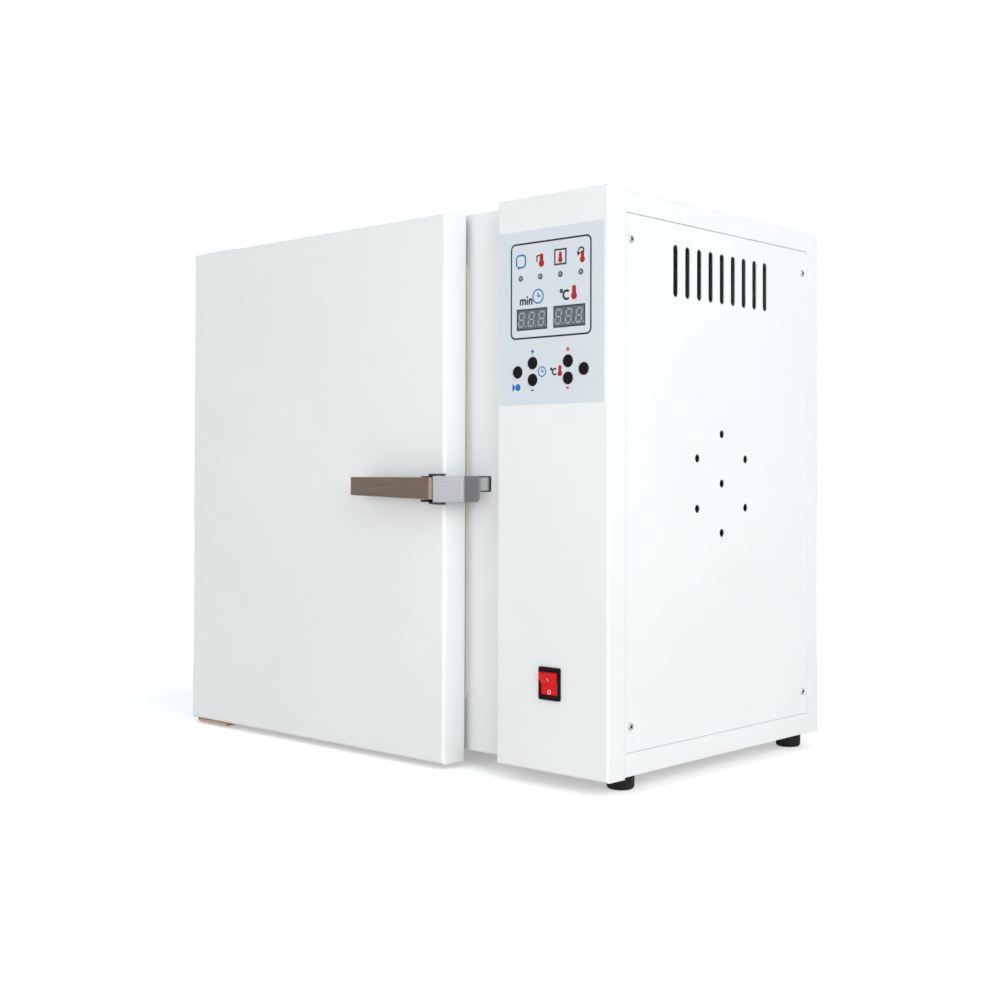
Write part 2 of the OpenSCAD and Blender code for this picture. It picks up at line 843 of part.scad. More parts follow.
// Wire shelf that lies on the runners of one level
module shelf(level) {
    z = runner_z0 + level * runner_pitch + 0.1 + wire_r;
    z_top = z + 2 * wire_r - 0.6;
    xs = [shelf_x0 + wire_r, shelf_x1 - wire_r];
    ys = [shelf_y0 + wire_r, shelf_y1 - wire_r];
    pitch = (xs[1] - xs[0]) / (wire_count + 1);
    color(stainless) {
        for (x = xs)
            rod_y([x, ys[0], z], ys[1] - ys[0], wire_r);
        for (y = [ys[0], (ys[0] + ys[1]) / 2, ys[1]])
            rod_x([xs[0], y, z], xs[1] - xs[0], wire_r);
        for (x = xs)
            for (y = ys)
                translate([x, y, z]) sphere(wire_r);
        for (i = [1:wire_count])
            rod_y([xs[0] + i * pitch, ys[0] - wire_r, z_top], ys[1] - ys[0] + 2 * wire_r, wire_r);
    }
}

module shelf_lower() { shelf(0); }
module shelf_middle() { shelf(2); }
module shelf_upper() { shelf(4); }

module temperature_probe() {
    x0 = baffle_x0 - probe_out;
    color(stainless) {
        rod_x([x0 + probe_r, probe_y, probe_z], terminal_end - x0 - probe_r, probe_r);
        translate([x0 + probe_r, probe_y, probe_z]) sphere(probe_r);
        rod_x([part_x1, probe_y, probe_z], 5, 7);
    }
}

// Outlet of the chamber's air, flush inside and with a collar outside
module vent_tube() {
    wall = 1;
    color(stainless) difference() {
        union() {
            rod_y([vent_x, ch_y1, vent_z], rear_y + 2 - ch_y1, vent_r);
            rod_y([vent_x, rear_y, vent_z], 1.5, vent_r + 5);
        }
        rod_y([vent_x, ch_y1 - over, vent_z], rear_y + 2 - ch_y1 + 2 * over, vent_r - wall);
    }
}

// Fan and its motor

module fan_wheel() {
    disc_x = ch_x1 - 6;
    disc_t = 1.2;
    hub_r = shaft_r + 7;
    blade_l = 30;
    color(stainless) difference() {
        union() {
            rod_x([disc_x, fan_y, fan_z], disc_t, fan_d / 2);
            rod_x([disc_x - blade_w, fan_y, fan_z], blade_w + over / 2, hub_r);
            translate([disc_x + over / 2, fan_y, fan_z])
                for (i = [0:blade_count - 1])
                    rotate([i * 360 / blade_count, 0, 0]) translate([0, 0, fan_d / 2 - blade_l / 2 - 1])
                        rotate([22, 0, 0]) translate([-blade_w, -disc_t / 2, -blade_l / 2])
                            cube([blade_w, disc_t, blade_l]);
        }
        rod_x([disc_x - blade_w - over, fan_y, fan_z], blade_w + 3 * over, shaft_r + run);
    }
}

module fan_shaft() {
    x0 = ch_x1 - 6 - blade_w - 3;
    color(zinc) rod_x([x0, fan_y, fan_z], part_x1 + motor_out + motor_l / 2 - x0, shaft_r);
}

module fan_motor() {
    x0 = part_x1 + motor_out;
    cap = 6;
    color(black) difference() {
        union() {
            rod_x([x0, fan_y, fan_z], cap + over, motor_d / 2 - 5);
            rod_x([x0 + cap, fan_y, fan_z], motor_l - 2 * cap, motor_d / 2);
            rod_x([x0 + motor_l - cap - over, fan_y, fan_z], cap + over, motor_d / 2 - 5);
        }
        rod_x([x0 - over, fan_y, fan_z], motor_l / 2 + 2 * over, shaft_r + run);
    }
}

// Plate on four posts that holds the motor off the hot wall
module motor_bracket() {
    plate_t = 3;
    x1 = part_x1 + motor_out;
    half = motor_d / 2 + 10;
    color(zinc) difference() {
        union() {
            block([x1 - plate_t, fan_y - half, fan_z - half], [x1, fan_y + half, fan_z + half]);
            for (sy = [-1, 1])
                for (sz = [-1, 1])
                    rod_x([part_x1, fan_y + sy * (half - 7), fan_z + sz * (half - 7)], motor_out - over, 4.5);
        }
        rod_x([x1 - plate_t - over, fan_y, fan_z], plate_t + 2 * over, shaft_r + 6);
    }
}

// Parts in the control compartment

module safety_thermostat() {
    at = [part_x1, heater_y1 + thermostat_r, ch_z1 - thermostat_r - thermostat_down];
    color(nylon) {
        rod_x(at, thermostat_h - thermostat_stem, thermostat_r);
        rod_x(at, thermostat_h, thermostat_stem);
    }
}

// Switching relay on its base plate, with four screw wells in its front
module power_relay() {
    plate_t = 4;
    edge = [0, 6, 2];
    well_r = 4;
    well_in = [12, 7];
    b = relay_at + relay;
    color(black) difference() {
        union() {
            block(relay_at, [relay_at.x + plate_t, b.y, b.z]);
            block(relay_at + edge, b - edge);
        }
        for (y = [relay_at.y + edge.y + well_in.x, b.y - edge.y - well_in.x])
            for (z = [relay_at.z + edge.z + well_in.y, b.z - edge.z - well_in.y])
                rod_x([b.x - 2 * well_r, y, z], 2 * well_r + over, well_r);
    }
}

// Screw terminals that join the mains cable to the switch and the heater
module terminal_block() {
    b = terminal_at + [terminal_ways * terminal_way + terminal_wall, terminal_d, terminal_h];
    pocket_d = terminal_d * 0.36;
    pocket_z = terminal_at.z + terminal_h * 0.55;
    color(nylon) difference() {
        block(terminal_at, b);
        for (i = [0:terminal_ways - 1]) {
            x0 = terminal_at.x + terminal_wall + i * terminal_way;
            x1 = x0 + terminal_way - terminal_wall;
            block([x0, terminal_at.y - over, pocket_z], [x1, terminal_at.y + pocket_d, b.z + over]);
            block([x0, b.y - pocket_d, pocket_z], [x1, b.y + over, b.z + over]);
        }
    }
}

// Hexagon nut on an axis along Y
module hex_nut(at, l, r) {
    translate(at) rotate([-90, 0, 0]) cylinder(h = l, r = r, $fn = 6);
}

// Gland for the mains cable: a threaded body, nuts outside and inside, and a tapered cap
module cable_gland() {
    nut_l = 6;
    inner_nut_l = 5;
    inside = 12;
    lap = 0.5;
    color(black) difference() {
        union() {
            rod_y([gland_x, rear_y - inside, gland_z], inside + nut_l, gland_r);
            hex_nut([gland_x, rear_y, gland_z], nut_l, gland_nut_r);
            hex_nut([gland_x, wrap_y1 - inner_nut_l, gland_z], inner_nut_l, gland_nut_r);
            translate([gland_x, rear_y + nut_l - lap, gland_z]) rotate([-90, 0, 0])
                cylinder(h = gland_out - nut_l + lap, r1 = gland_r + 1.5, r2 = gland_r - 2);
        }
        rod_y([gland_x, rear_y - inside - over, gland_z], inside + gland_out + 2 * over, gland_bore_d / 2);
    }
}

module fuse_holder() {
    rim_r = fuse_r + 3;
    rim_t = 4;
    inside = 26;
    cap_out = 10;
    color(black) {
        rod_y([gland_x, rear_y - inside, fuse_z], inside + over, fuse_r);
        rod_y([gland_x, rear_y, fuse_z], rim_t, rim_r);
        rod_y([gland_x, rear_y + rim_t - over, fuse_z], cap_out - rim_t + over, fuse_r + 0.5);
        rod_y([gland_x, wrap_y1 - rim_t, fuse_z], rim_t, rim_r);
    }
}

// Control column

// Cover of the column, a shallow tray in front of the case
module control_cover() {
    back = frame_y - sheet;
    lip = 8;
    a = [cover_x0, cover_y0, cover_z0];
    b = [body_x, frame_y, cover_z1];
    color(paint) difference() {
        front_rounded(a, b, cover_r);
        front_rounded(a + sheet * [1, 1, 1], [b.x - sheet, back, b.z - sheet], cover_r - sheet);
        block([a.x + lip, back - over, a.z + lip], [b.x - lip, b.y + over, b.z - lip]);
        control_holes(cover_y0 - over, cover_y0 + sheet + over);
        block(
            [switch_x - switch_half.x - fit, cover_y0 - over, switch_z - switch_half.y - fit],
            [switch_x + switch_half.x + fit, cover_y0 + sheet + over, switch_z + switch_half.y + fit]
        );
    }
}

// Openings for the displays, the lamps and the buttons
module control_holes(y0, y1) {
    for (s = [-1, 1])
        block(
            [overlay_x + s * display_side - display_w / 2 - fit, y0, display_z - display_h / 2 - fit],
            [overlay_x + s * display_side + display_w / 2 + fit, y1, display_z + display_h / 2 + fit]
        );
    for (x = LAMPS)
        rod_y([overlay_x + x, y0, lamp_z], y1 - y0, lamp_d / 2 + fit);
    for (p = BUTTONS)
        rod_y([overlay_x + p.x, y0, button_z + p.y], y1 - y0, button_d / 2 + slack);
}

module keypad_overlay() {
    half = overlay_w / 2;
    color(overlay_grey) difference() {
        prism_y(overlay_y0, cover_y0)
            round_rect([overlay_x - half, overlay_z0], [overlay_x + half, overlay_z0 + overlay_h], film_r);
        control_holes(overlay_y0 - over, cover_y0 + over);
    }
}

// Outlines of the seven bars of one digit, leaning to the right
module digit_2d(middle) {
    w = digit_h * 0.56;
    t = digit_h * 0.11;
    lean = tan(8);
    l = w / 2 - t * 0.6;
    m = digit_h / 4 - t * 0.6;
    flat = [
        [-l, 0], [-l + t / 2, t / 2], [l - t / 2, t / 2],
        [l, 0], [l - t / 2, -t / 2], [-l + t / 2, -t / 2]
    ];
    tall = [
        [0, -m], [t / 2, -m + t / 2], [t / 2, m - t / 2],
        [0, m], [-t / 2, m - t / 2], [-t / 2, -m + t / 2]
    ];
    for (z = [-1, 0, 1])
        digit_bar(flat, [0, z * (digit_h - t) / 2], middle, lean);
    for (x = [-1, 1])
        for (z = [-1, 1])
            digit_bar(tall, [x * (w - t) / 2, z * (digit_h - t) / 4], middle, lean);
    translate(middle + [w / 2 + t, -digit_h / 2 + t / 2]) circle(t / 2);
}

module digit_bar(bar, at, middle, lean) {
    polygon([for (p = bar) middle + at + p + [lean * (at.y + p.y), 0]]);
}

module digits_2d(x) {
    for (i = [-1:1])
        digit_2d([x - 0.8 + i * (display_w - 1) / 3, display_z]);
}

module display(x) {
    y0 = overlay_y0 + 0.2;
    color(display_grey) difference() {
        block(
            [x - display_w / 2, y0, display_z - display_h / 2],
            [x + display_w / 2, board_y, display_z + display_h / 2]
        );
        prism_y(y0 - over, y0 + 0.3) digits_2d(x);
    }
}

module time_display() { display(overlay_x - display_side); }
module temperature_display() { display(overlay_x + display_side); }

// Light bars of both displays, just below the displays' faces
module display_segments() {
    y0 = overlay_y0 + 0.25;
    color(segment_grey) prism_y(y0, y0 + 0.25) {
        digits_2d(overlay_x - display_side);
        digits_2d(overlay_x + display_side);
    }
}

module indicator_lamps() {
    color(segment_grey) for (x = LAMPS) {
        rod_y([overlay_x + x, overlay_y0, lamp_z], board_y - overlay_y0, lamp_d / 2);
        translate([overlay_x + x, overlay_y0, lamp_z]) intersection() {
            sphere(lamp_d / 2);
            block([-lamp_d, -lamp_d, -lamp_d], [lamp_d, 0, lamp_d]);
        }
    }
}

// Circuit board with its stand-offs and the key switches behind the buttons
module control_board() {
    a = [cover_x0 + board_in, board_y, overlay_z0 + 6];
    b = [body_x - board_in, board_y + board_t, overlay_z0 + overlay_h - 6];
    key = 6;
    color(board_green) {
        block(a, b);
        for (x = [a.x + 6, b.x - 6])
            for (z = [a.z + 6, b.z - 6])
                rod_y([x, cover_y0 + sheet, z], board_y - cover_y0, 3);
        for (p = BUTTONS)
            translate([overlay_x + p.x - key / 2, board_y - key_h, button_z + p.y - key / 2])
                cube([key, key_h + board_t / 2, key]);
        block(
            [overlay_x - 14, board_y, display_z - 12],
            [overlay_x + 14, board_y + board_t + 2.5, display_z + 10]
        );
        block([a.x + 20, board_y, a.z + 10], [a.x + 56, board_y + board_t + 8, a.z + 20]);
    }
}

// Keypad button: cap, retaining flange and stem
module button(i) {
    p = [overlay_x + BUTTONS[i].x, button_z + BUTTONS[i].y];
    y0 = overlay_y0 - button_proud;
    y1 = cover_y0 + sheet + slack;
    y2 = board_y - key_h - button_travel - slack;
    flange_t = 1.5;
    edge = 0.4;
    color(black) {
        translate([p.x, y0, p.y]) rotate([-90, 0, 0])
            cylinder(h = edge, r1 = button_d / 2 - edge, r2 = button_d / 2);
        rod_y([p.x, y0 + edge, p.y], y1 + flange_t - y0 - edge, button_d / 2);
        rod_y([p.x, y1, p.y], flange_t, button_d / 2 + flange_out);
        rod_y([p.x, y1, p.y], y2 - y1, 2);
    }
}

module button_start() { button(0); }
module button_time_plus() { button(1); }
module button_time_minus() { button(2); }
module button_heat_plus() { button(3); }
module button_heat_minus() { button(4); }
module button_menu() { button(5); }

// Power switch

module rocker_axle(gap) {
    stub = 1.2;
    rod_x([switch_x - rocker_w / 2 - stub, pivot_y, switch_z], rocker_w + 2 * stub, 1.5 + gap);
}

module switch_bezel() {
    half = [bezel_w / 2, bezel_h / 2];
    middle = [switch_x, switch_z];
    clear_w = rocker_w + 2 * slack;
    color(black) difference() {
        union() {
            prism_y(cover_y0 - bezel_t, cover_y0) round_rect(middle - half, middle + half, 1.5);
            block(
                [switch_x - switch_half.x, cover_y0 - over, switch_z - switch_half.y],
                [switch_x + switch_half.x, cover_y0 + switch_d, switch_z + switch_half.y]
            );
            for (x = [-4, 4])
                for (z = [-8, 8])
                    translate([switch_x + x - 0.4, cover_y0 + switch_d - over, switch_z + z - 3])
                        cube([0.8, 9, 6]);
        }
        rod_x([switch_x - clear_w / 2, pivot_y, switch_z], clear_w, rocker_r + slack);
        rocker_axle(run);
    }
}

// Rocker, a cylinder about its pivot with two finger faces, tipped with its lower half pressed
module switch_rocker() {
    dip = 2.2;
    b = rocker_r + over;
    a = -dip - b * tan(rocker_tip);
    color(red) {
        translate([0, pivot_y, switch_z]) prism_x(switch_x - rocker_w / 2, switch_x + rocker_w / 2)
            rotate(rocker_tip) intersection() {
                circle(rocker_r);
                polygon([[-dip, 0], [a, b], [9, b], [9, -b], [a, -b]]);
            }
        rocker_axle(0);
    }
}

// Feet and fixings

module feet() {
    color(black) for (p = FEET)
        translate([p.x, p.y, 0]) difference() {
            union() {
                translate([0, 0, tread_h])
                    cylinder(h = foot_h - tread_h, r1 = foot_low_d / 2, r2 = foot_d / 2);
                cylinder(h = tread_h, r1 = foot_low_d / 2 - tread_h, r2 = foot_low_d / 2);
            }
            translate([0, 0, -over]) cylinder(h = foot_h / 2 + over, r = head_r + 1.5);
            cylinder(h = foot_h + over, r = shank_r + fit);
        }
}

module foot_screws() {
    color(zinc) for (p = FEET)
        translate([p.x, p.y, 0]) {
            translate([0, 0, foot_h / 2]) screw(foot_h / 2 + sheet + 5);
            translate([0, 0, body_z0 + sheet]) cylinder(h = 3, r = 4.4, $fn = 6);
        }
}

module side_panel_screws() {
    color(zinc) for (p = PANEL_SCREWS)
        translate([panel_x1, p.x, p.y]) rotate([0, -90, 0]) screw(8);
}

module rear_screws() {
    color(zinc) for (p = REAR_SCREWS)
        translate([p.x, rear_y, p.y]) rotate([90, 0, 0]) screw(7);
}

// Screw with a sunk head whose top is flush with a face, pointing along +Z
module sunk_screw(l, head_t) {
    cylinder(h = head_t, r1 = shank_r + head_t, r2 = shank_r);
    cylinder(h = l, r = shank_r);
}

// Hinge plate under the case, cranked down to carry the door's lower pin
module hinge_plate_lower() {
    x1 = pin_x + hinge_l;
    arm_z1 = door_z0 - hinge_gap;
    arm_z0 = arm_z1 - hinge_t;
    fold_y = frame_y + 2;
    wing_y1 = frame_y + hinge_screw_in + 2 * hinge_screw_pitch + hinge_edge;
    end_r = 9;
    color(zinc) difference() {
        union() {
            rod_z([pin_x, pin_y - 4, arm_z0], hinge_t, end_r);
            block([pin_x - end_r, pin_y - 4, arm_z0], [pin_x, fold_y + hinge_t, arm_z1]);
            block([pin_x, pin_y - 4 - end_r, arm_z0], [x1, fold_y + hinge_t, arm_z1]);
            block([x1 - hinge_wing, fold_y, arm_z0], [x1, fold_y + hinge_t, body_z0]);
            block([x1 - hinge_wing, fold_y, body_z0 - hinge_t], [x1, wing_y1, body_z0]);
        }
        rod_z([pin_x, pin_y, arm_z0 - over], hinge_t + 2 * over, hinge_pin_d / 2 + run);
        for (p = LOWER_HINGE_SCREWS)
            rod_z([p.x, p.y, body_z0 - hinge_t - over], hinge_t + 2 * over, shank_r + fit);
    }
}

// Hinge plate on top of the case, stepped down over the door
module hinge_plate_upper() {
    t = hinge_top_t;
    x1 = pin_x + hinge_l;
    arm_z0 = door_z1 + hinge_gap;
    end_r = 6;
    step_y = frame_y - 4;
    color(paint) difference() {
        union() {
            rod_z([pin_x, pin_y, arm_z0], t, end_r);
            block([pin_x - end_r, pin_y, arm_z0], [pin_x, step_y + t, arm_z0 + t]);
            block([pin_x, pin_y - end_r, arm_z0], [x1, step_y + t, arm_z0 + t]);
            block([pin_x - end_r, step_y, arm_z0], [x1, step_y + t, body_z1 + t]);
            block(
                [pin_x - end_r, step_y, body_z1],
                [x1, frame_y + hinge_screw_in + hinge_edge + 4, body_z1 + t]
            );
        }
        rod_z([pin_x, pin_y, arm_z0 - over], t + 2 * over, hinge_pin_d / 2 + run);
        for (p = UPPER_HINGE_SCREWS)
            translate([p.x, p.y, body_z1 + t]) rotate([180, 0, 0]) translate([0, 0, -0.01]) {
                cylinder(h = sunk_h + 0.01, r1 = shank_r + sunk_h + fit, r2 = shank_r + fit);
                cylinder(h = t + over, r = shank_r + fit);
            }
    }
}

module hinge_pins() {
    r = hinge_pin_d / 2;
    low = door_z0 - hinge_gap - hinge_t;
    high = door_z1 + hinge_gap + hinge_top_t;
    color(zinc) {
        rod_z([pin_x, pin_y, low], door_z0 + hinge_pin_in - low, r);
        rod_z([pin_x, pin_y, door_z1 - hinge_pin_in], high - door_z1 + hinge_pin_in, r);
    }
}

module hinge_screws() {
    color(zinc) {
        for (p = LOWER_HINGE_SCREWS)
            translate([p.x, p.y, body_z0 - hinge_t]) screw(hinge_t + sheet + 5);
        for (p = UPPER_HINGE_SCREWS)
            translate([p.x, p.y, body_z1 + hinge_top_t]) rotate([180, 0, 0])
                sunk_screw(hinge_top_t + sheet + 3, sunk_h);
    }
}

// Steel plate that stiffens the slot for the latch behind the front frame
module latch_keeper() {
    color(zinc) prism_y(wrap_y0, wrap_y0 + 1.5) difference() {
        rect([slot_x0 - 1.6, tongue_z0 - 14], [slot_x1 + 12, tongue_z1 + 14]);
        latch_slot();
    }
}

// Door

// Folded outer tray of the door, with a lip behind that carries the inner panel
module door_shell() {
    a = [door_x0, door_y0, door_z0];
    b = [door_x1, door_y1, door_z1];
    lip_y = door_y1 - liner_t - sheet;
    color(paint) difference() {
        front_rounded(a, b, door_r);
        front_rounded(a + sheet * [1, 1, 1], [b.x - sheet, lip_y, b.z - sheet], door_r - sheet);
        block([a.x + lip_w, lip_y - over, a.z + lip_w], [b.x - lip_w, b.y + over, b.z - lip_w]);
        block([a.x + sheet, lip_y + sheet, a.z + sheet], [b.x - sheet, b.y + over, b.z - sheet]);
        for (z = [door_z0 - over, door_z1 - lip_w - over])
            rod_z([pin_x, pin_y, z], lip_w + 2 * over, bush_d / 2 + run);
        for (p = LINER_SCREWS)
            rod_y([p.x, lip_y - over, p.y], sheet + 2 * over, 1.5 + fit);
    }
}

// Stainless inner panel of the door, with a raised field inside the seal
module door_liner() {
    a = [ch_x0 + field_in, ch_z0 + field_in];
    b = [ch_x1 - field_in, ch_z1 - field_in];
    t = liner_t;
    edge = sheet + fit;
    color(stainless) difference() {
        union() {
            block([door_x0 + edge, door_y1 - t, door_z0 + edge], [door_x1 - edge, door_y1, door_z1 - edge]);
            prism_y(door_y1 - t, door_y1 + field_h) round_rect(a, b, 12);
        }
        prism_y(door_y1 - t - over, door_y1 + field_h - t) round_rect(a + [t, t], b - [t, t], 12 - t);
        for (p = LINER_SCREWS)
            translate([p.x, door_y1, p.y]) rotate([90, 0, 0]) translate([0, 0, -0.01])
                cylinder(h = t + 0.02, r1 = 2.5 + fit, r2 = 1.5 + fit);
    }
}

module liner_screws() {
    color(zinc) for (p = LINER_SCREWS)
        translate([p.x, door_y1, p.y]) rotate([90, 0, 0]) {
            cylinder(h = liner_t, r1 = 2.5, r2 = 1.5);
            cylinder(h = liner_t + sheet + 4, r = 1.5);
        }
}

module door_insulation() {
    gap = sheet + wool_gap;
    color(wool) difference() {
        front_rounded(
            [door_x0 + gap, door_y0 + gap, door_z0 + gap],
            [door_x1 - gap, door_y1 - liner_t - gap, door_z1 - gap],
            door_r - sheet
        );
        for (z = [door_z0, door_z1 - bush_l - 2])
            rod_z([pin_x, pin_y, z], bush_l + 2, bush_d / 2 + run);
        for (p = LINER_SCREWS)
            rod_y([p.x, door_y1 - liner_t - sheet - 6, p.y], 10, 1.5 + fit);
    }
}

module door_bushes() {
    r = bush_d / 2;
    color(nylon) difference() {
        union() {
            rod_z([pin_x, pin_y, door_z0], bush_l, r);
            rod_z([pin_x, pin_y, door_z0 - bush_flange_t], bush_flange_t, r + 2);
            rod_z([pin_x, pin_y, door_z1 - bush_l], bush_l, r);
            rod_z([pin_x, pin_y, door_z1], bush_flange_t, r + 2);
        }
        rod_z([pin_x, pin_y, door_z0 - over], hinge_pin_in + 2 * over, hinge_pin_d / 2 + run);
        rod_z([pin_x, pin_y, door_z1 - hinge_pin_in - over], hinge_pin_in + 2 * over, hinge_pin_d / 2 + run);
    }
}

// Latch

// Ear of the bracket, from the door's face to the pin
module ear_2d() {
    base_l = [door_x1 - 14, door_y0 - over];
    base_r = [door_x1 - 1, door_y0 - over];
    way = lpin - (base_l + base_r) / 2;
    side = ear_r * [way.y, -way.x] / norm(way);
    polygon([base_l, base_r, lpin - side, lpin + side]);
    translate(lpin) circle(ear_r);
}

// Bracket on the door's face, with an ear above and an ear below the latch
module latch_bracket() {
    h = ear_z + ear_t;
    color(black) difference() {
        union() {
            block([door_x1 - 20, door_y0 - bracket_t, latch_z - h], [door_x1 - 0.8, door_y0, latch_z + h]);
            for (z = [latch_z - h, latch_z + ear_z])
                prism_z(z, z + ear_t) ear_2d();
        }
        rod_z([lpin.x, lpin.y, latch_z - h - over], 2 * (h + over), latch_pin_d / 2 + run);
    }
}

module latch_pin() {
    h = ear_z + ear_t;
    color(zinc) rod_z([lpin.x, lpin.y, latch_z - h], 2 * h, latch_pin_d / 2);
}

// Plan of the lever, turned in round the pin at its right end
module lever_plan(inset) {
    r = lever_end_r - inset;
    x1 = lever_x1 - inset;
    rect([lever_x0 + inset, lever_y0 + inset], [x1 - r, lever_y1 + (inset > 0 ? over : 0)]);
    rect([lever_x0 + inset, lever_y0 + inset + r], [x1, lever_y1 + (inset > 0 ? over : 0)]);
    translate([x1 - r, lever_y0 + inset + r]) circle(r);
}

// Front view of the lever, lower at its tip than at its pin
module lever_front(inset) {
    z = lever_top - lever_h;
    polygon([
        [lever_x0 + inset, z + lever_rise + inset],
        [lever_x1 + over, z + inset],
        [lever_x1 + over, lever_top - inset],
        [lever_x0 + inset, lever_top - inset]
    ]);
}

// Lever, a channel of folded sheet that is open towards the door
module lever_grip() {
    z0 = lever_top - lever_h - over;
    color(warm_steel) difference() {
        intersection() {
            prism_z(z0, lever_top + over) lever_plan(0);
            prism_y(lever_y0 - over, lever_y1) lever_front(0);
        }
        intersection() {
            prism_z(z0, lever_top + over) lever_plan(lever_t);
            prism_y(lever_y0 - over, lever_y1 + over) lever_front(lever_t);
        }
        rod_z([lpin.x, lpin.y, z0 - over], lever_h + 4 * over, lug_r + run);
        block([hub_x1, lpin.y - lug_r, z0 - over], [lever_x1 + over, lever_y1 + over, lever_top + over]);
    }
}

// Moulded hub that clamps the lever's end and turns on the pin
module latch_hub() {
    z_cap = strap_h / 2 - fit;
    z_in = [lever_top - lever_h + lever_t + 1, lever_top - lever_t - fit];
    z_lever = [lever_top - lever_h + (lpin.x - hub_x0) / lever_l * lever_rise, lever_top];
    z_lug = strap_h / 2 - lug_t - 0.1;
    y1 = lever_y1 + 0.1;
    color(black) difference() {
        union() {
            block([hub_x0, lever_y0 + lever_t + 0.5, z_in[0]], [hub_x1, y1 + hub_back, z_in[1]]);
            block([hub_x0, y1, latch_z - z_cap], [hub_x1, y1 + hub_back, latch_z + z_cap]);
            block([hub_x0, lever_y0 + 0.2, z_lever[1] + 0.05], [hub_x1, y1 + over, latch_z + z_cap]);
            block([hub_x0, lever_y0 + 0.2, latch_z - z_cap], [hub_x1, y1 + over, z_lever[0] - 0.6]);
            rod_z([lpin.x, lpin.y, latch_z - z_lug], 2 * z_lug, lug_r - run);
            block([hub_x0, lpin.y - 3, z_in[0]], [lpin.x, y1 + hub_back, z_in[1]]);
        }
        rod_z([lpin.x, lpin.y, latch_z - strap_h], 2 * strap_h, latch_pin_d / 2 + run);
    }
}

// Points of an arc
function arc(c, r, a0, a1, n = 8) =
    [for (i = [0:n]) c + r * [cos(a0 + (a1 - a0) * i / n), sin(a0 + (a1 - a0) * i / n)]];

// Plan of the strap: a slanted leg, a bend and a leg that runs back to the slot
module strap_plan() {
    a_in = strap_a + strap_t * strap_n;
    way = (tongue_x1 - strap_r - strap_a.x - strap_r * strap_n.x) / strap_u.x;
    c = strap_a + way * strap_u + strap_r * strap_n;
    polygon(concat(
        [strap_a],
        arc(c, strap_r, strap_angle - 90, 0),
        [[tongue_x1, tongue_y1], [tongue_x1 - strap_t, tongue_y1]],
        arc(c, strap_r - strap_t, 0, strap_angle - 90),
        [a_in]
    ));
}

// Side view of the strap, with the narrow tongue at its rear end
module strap_side() {
    round_rect([strap_a.y - 10, strap_z0], [strap_y1, strap_z1], 5);
    rect([strap_a.y - 10, strap_z0], [strap_b.y - 8, strap_z1]);
    rect([strap_b.y, tongue_z0], [tongue_y1 - 1.5, tongue_z1]);
    rect([strap_b.y, tongue_z0 + 1.5], [tongue_y1, tongue_z1 - 1.5]);
}

// Strap that reaches round the door's edge into the slot, with two lugs on the pin
module latch_strap() {
    color(zinc) difference() {
        union() {
            intersection() {
                prism_z(strap_z0, strap_z1) strap_plan();
                prism_x(lpin.x - 10, tongue_x1 + over) strap_side();
            }
            for (z = [strap_z0, strap_z1 - lug_t])
                prism_z(z, z + lug_t) {
                    translate(lpin) circle(lug_r);
                    translate(lpin) rotate(strap_angle) rect([-lug_r, -6], [lug_r, 0]);
                }
        }
        rod_z([lpin.x, lpin.y, strap_z0 - over], strap_h + 2 * over, latch_pin_d / 2 + run);
    }
}

case_wrap();
base_tray();
rear_cover();
front_frame();
side_panel();
partition_wall();
control_cover();
keypad_overlay();
time_display();
temperature_display();
display_segments();
indicator_lamps();
control_board();
button_start();
button_time_plus();
button_time_minus();
button_heat_plus();
button_heat_minus();
button_menu();
switch_bezel();
switch_rocker();
chamber();
insulation();
door_seal();
heating_element();
fan_baffle();
fan_motor();
motor_bracket();
fan_wheel();
fan_shaft();
shelf_runners();
shelf_upper();
shelf_middle();
shelf_lower();
temperature_probe();
safety_thermostat();
power_relay();
terminal_block();
vent_tube();
cable_gland();
fuse_holder();
feet();
foot_screws();
side_panel_screws();
rear_screws();
hinge_plate_lower();
hinge_plate_upper();
hinge_pins();
hinge_screws();
latch_keeper();
door_shell();
door_liner();
door_insulation();
door_bushes();
liner_screws();
latch_bracket();
latch_pin();
lever_grip();
latch_hub();
latch_strap();
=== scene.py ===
# A bench dry heat sterilizer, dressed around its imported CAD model.
# Everything is in metres: X to the right, Y to the back, Z up from the bench.
import json
import math

import bmesh
import bpy
from mathutils import Matrix, Vector


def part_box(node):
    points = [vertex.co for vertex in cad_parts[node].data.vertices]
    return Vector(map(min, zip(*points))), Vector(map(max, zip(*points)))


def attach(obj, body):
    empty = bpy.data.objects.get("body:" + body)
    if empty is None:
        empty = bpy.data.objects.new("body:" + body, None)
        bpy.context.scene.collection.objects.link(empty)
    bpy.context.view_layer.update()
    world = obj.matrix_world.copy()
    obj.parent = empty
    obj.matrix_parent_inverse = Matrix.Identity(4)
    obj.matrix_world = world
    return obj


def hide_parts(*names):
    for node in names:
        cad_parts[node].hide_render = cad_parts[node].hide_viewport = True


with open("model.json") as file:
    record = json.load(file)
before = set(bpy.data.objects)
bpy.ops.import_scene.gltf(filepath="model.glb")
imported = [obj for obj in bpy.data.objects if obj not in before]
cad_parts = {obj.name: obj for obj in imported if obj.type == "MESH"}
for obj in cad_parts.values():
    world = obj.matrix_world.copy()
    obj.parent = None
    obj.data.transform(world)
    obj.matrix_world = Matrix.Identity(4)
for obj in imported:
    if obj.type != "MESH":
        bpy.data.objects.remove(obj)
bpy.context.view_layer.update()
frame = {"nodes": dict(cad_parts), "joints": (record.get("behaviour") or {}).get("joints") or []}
nodes = frame["nodes"]
MM = 0.001


# The camera stands off the front right corner, at half the cabinet's height, so
# that the front, the column and the whole right side show. Its place, turn and
# lens were fitted to thirty corners of the cabinet.

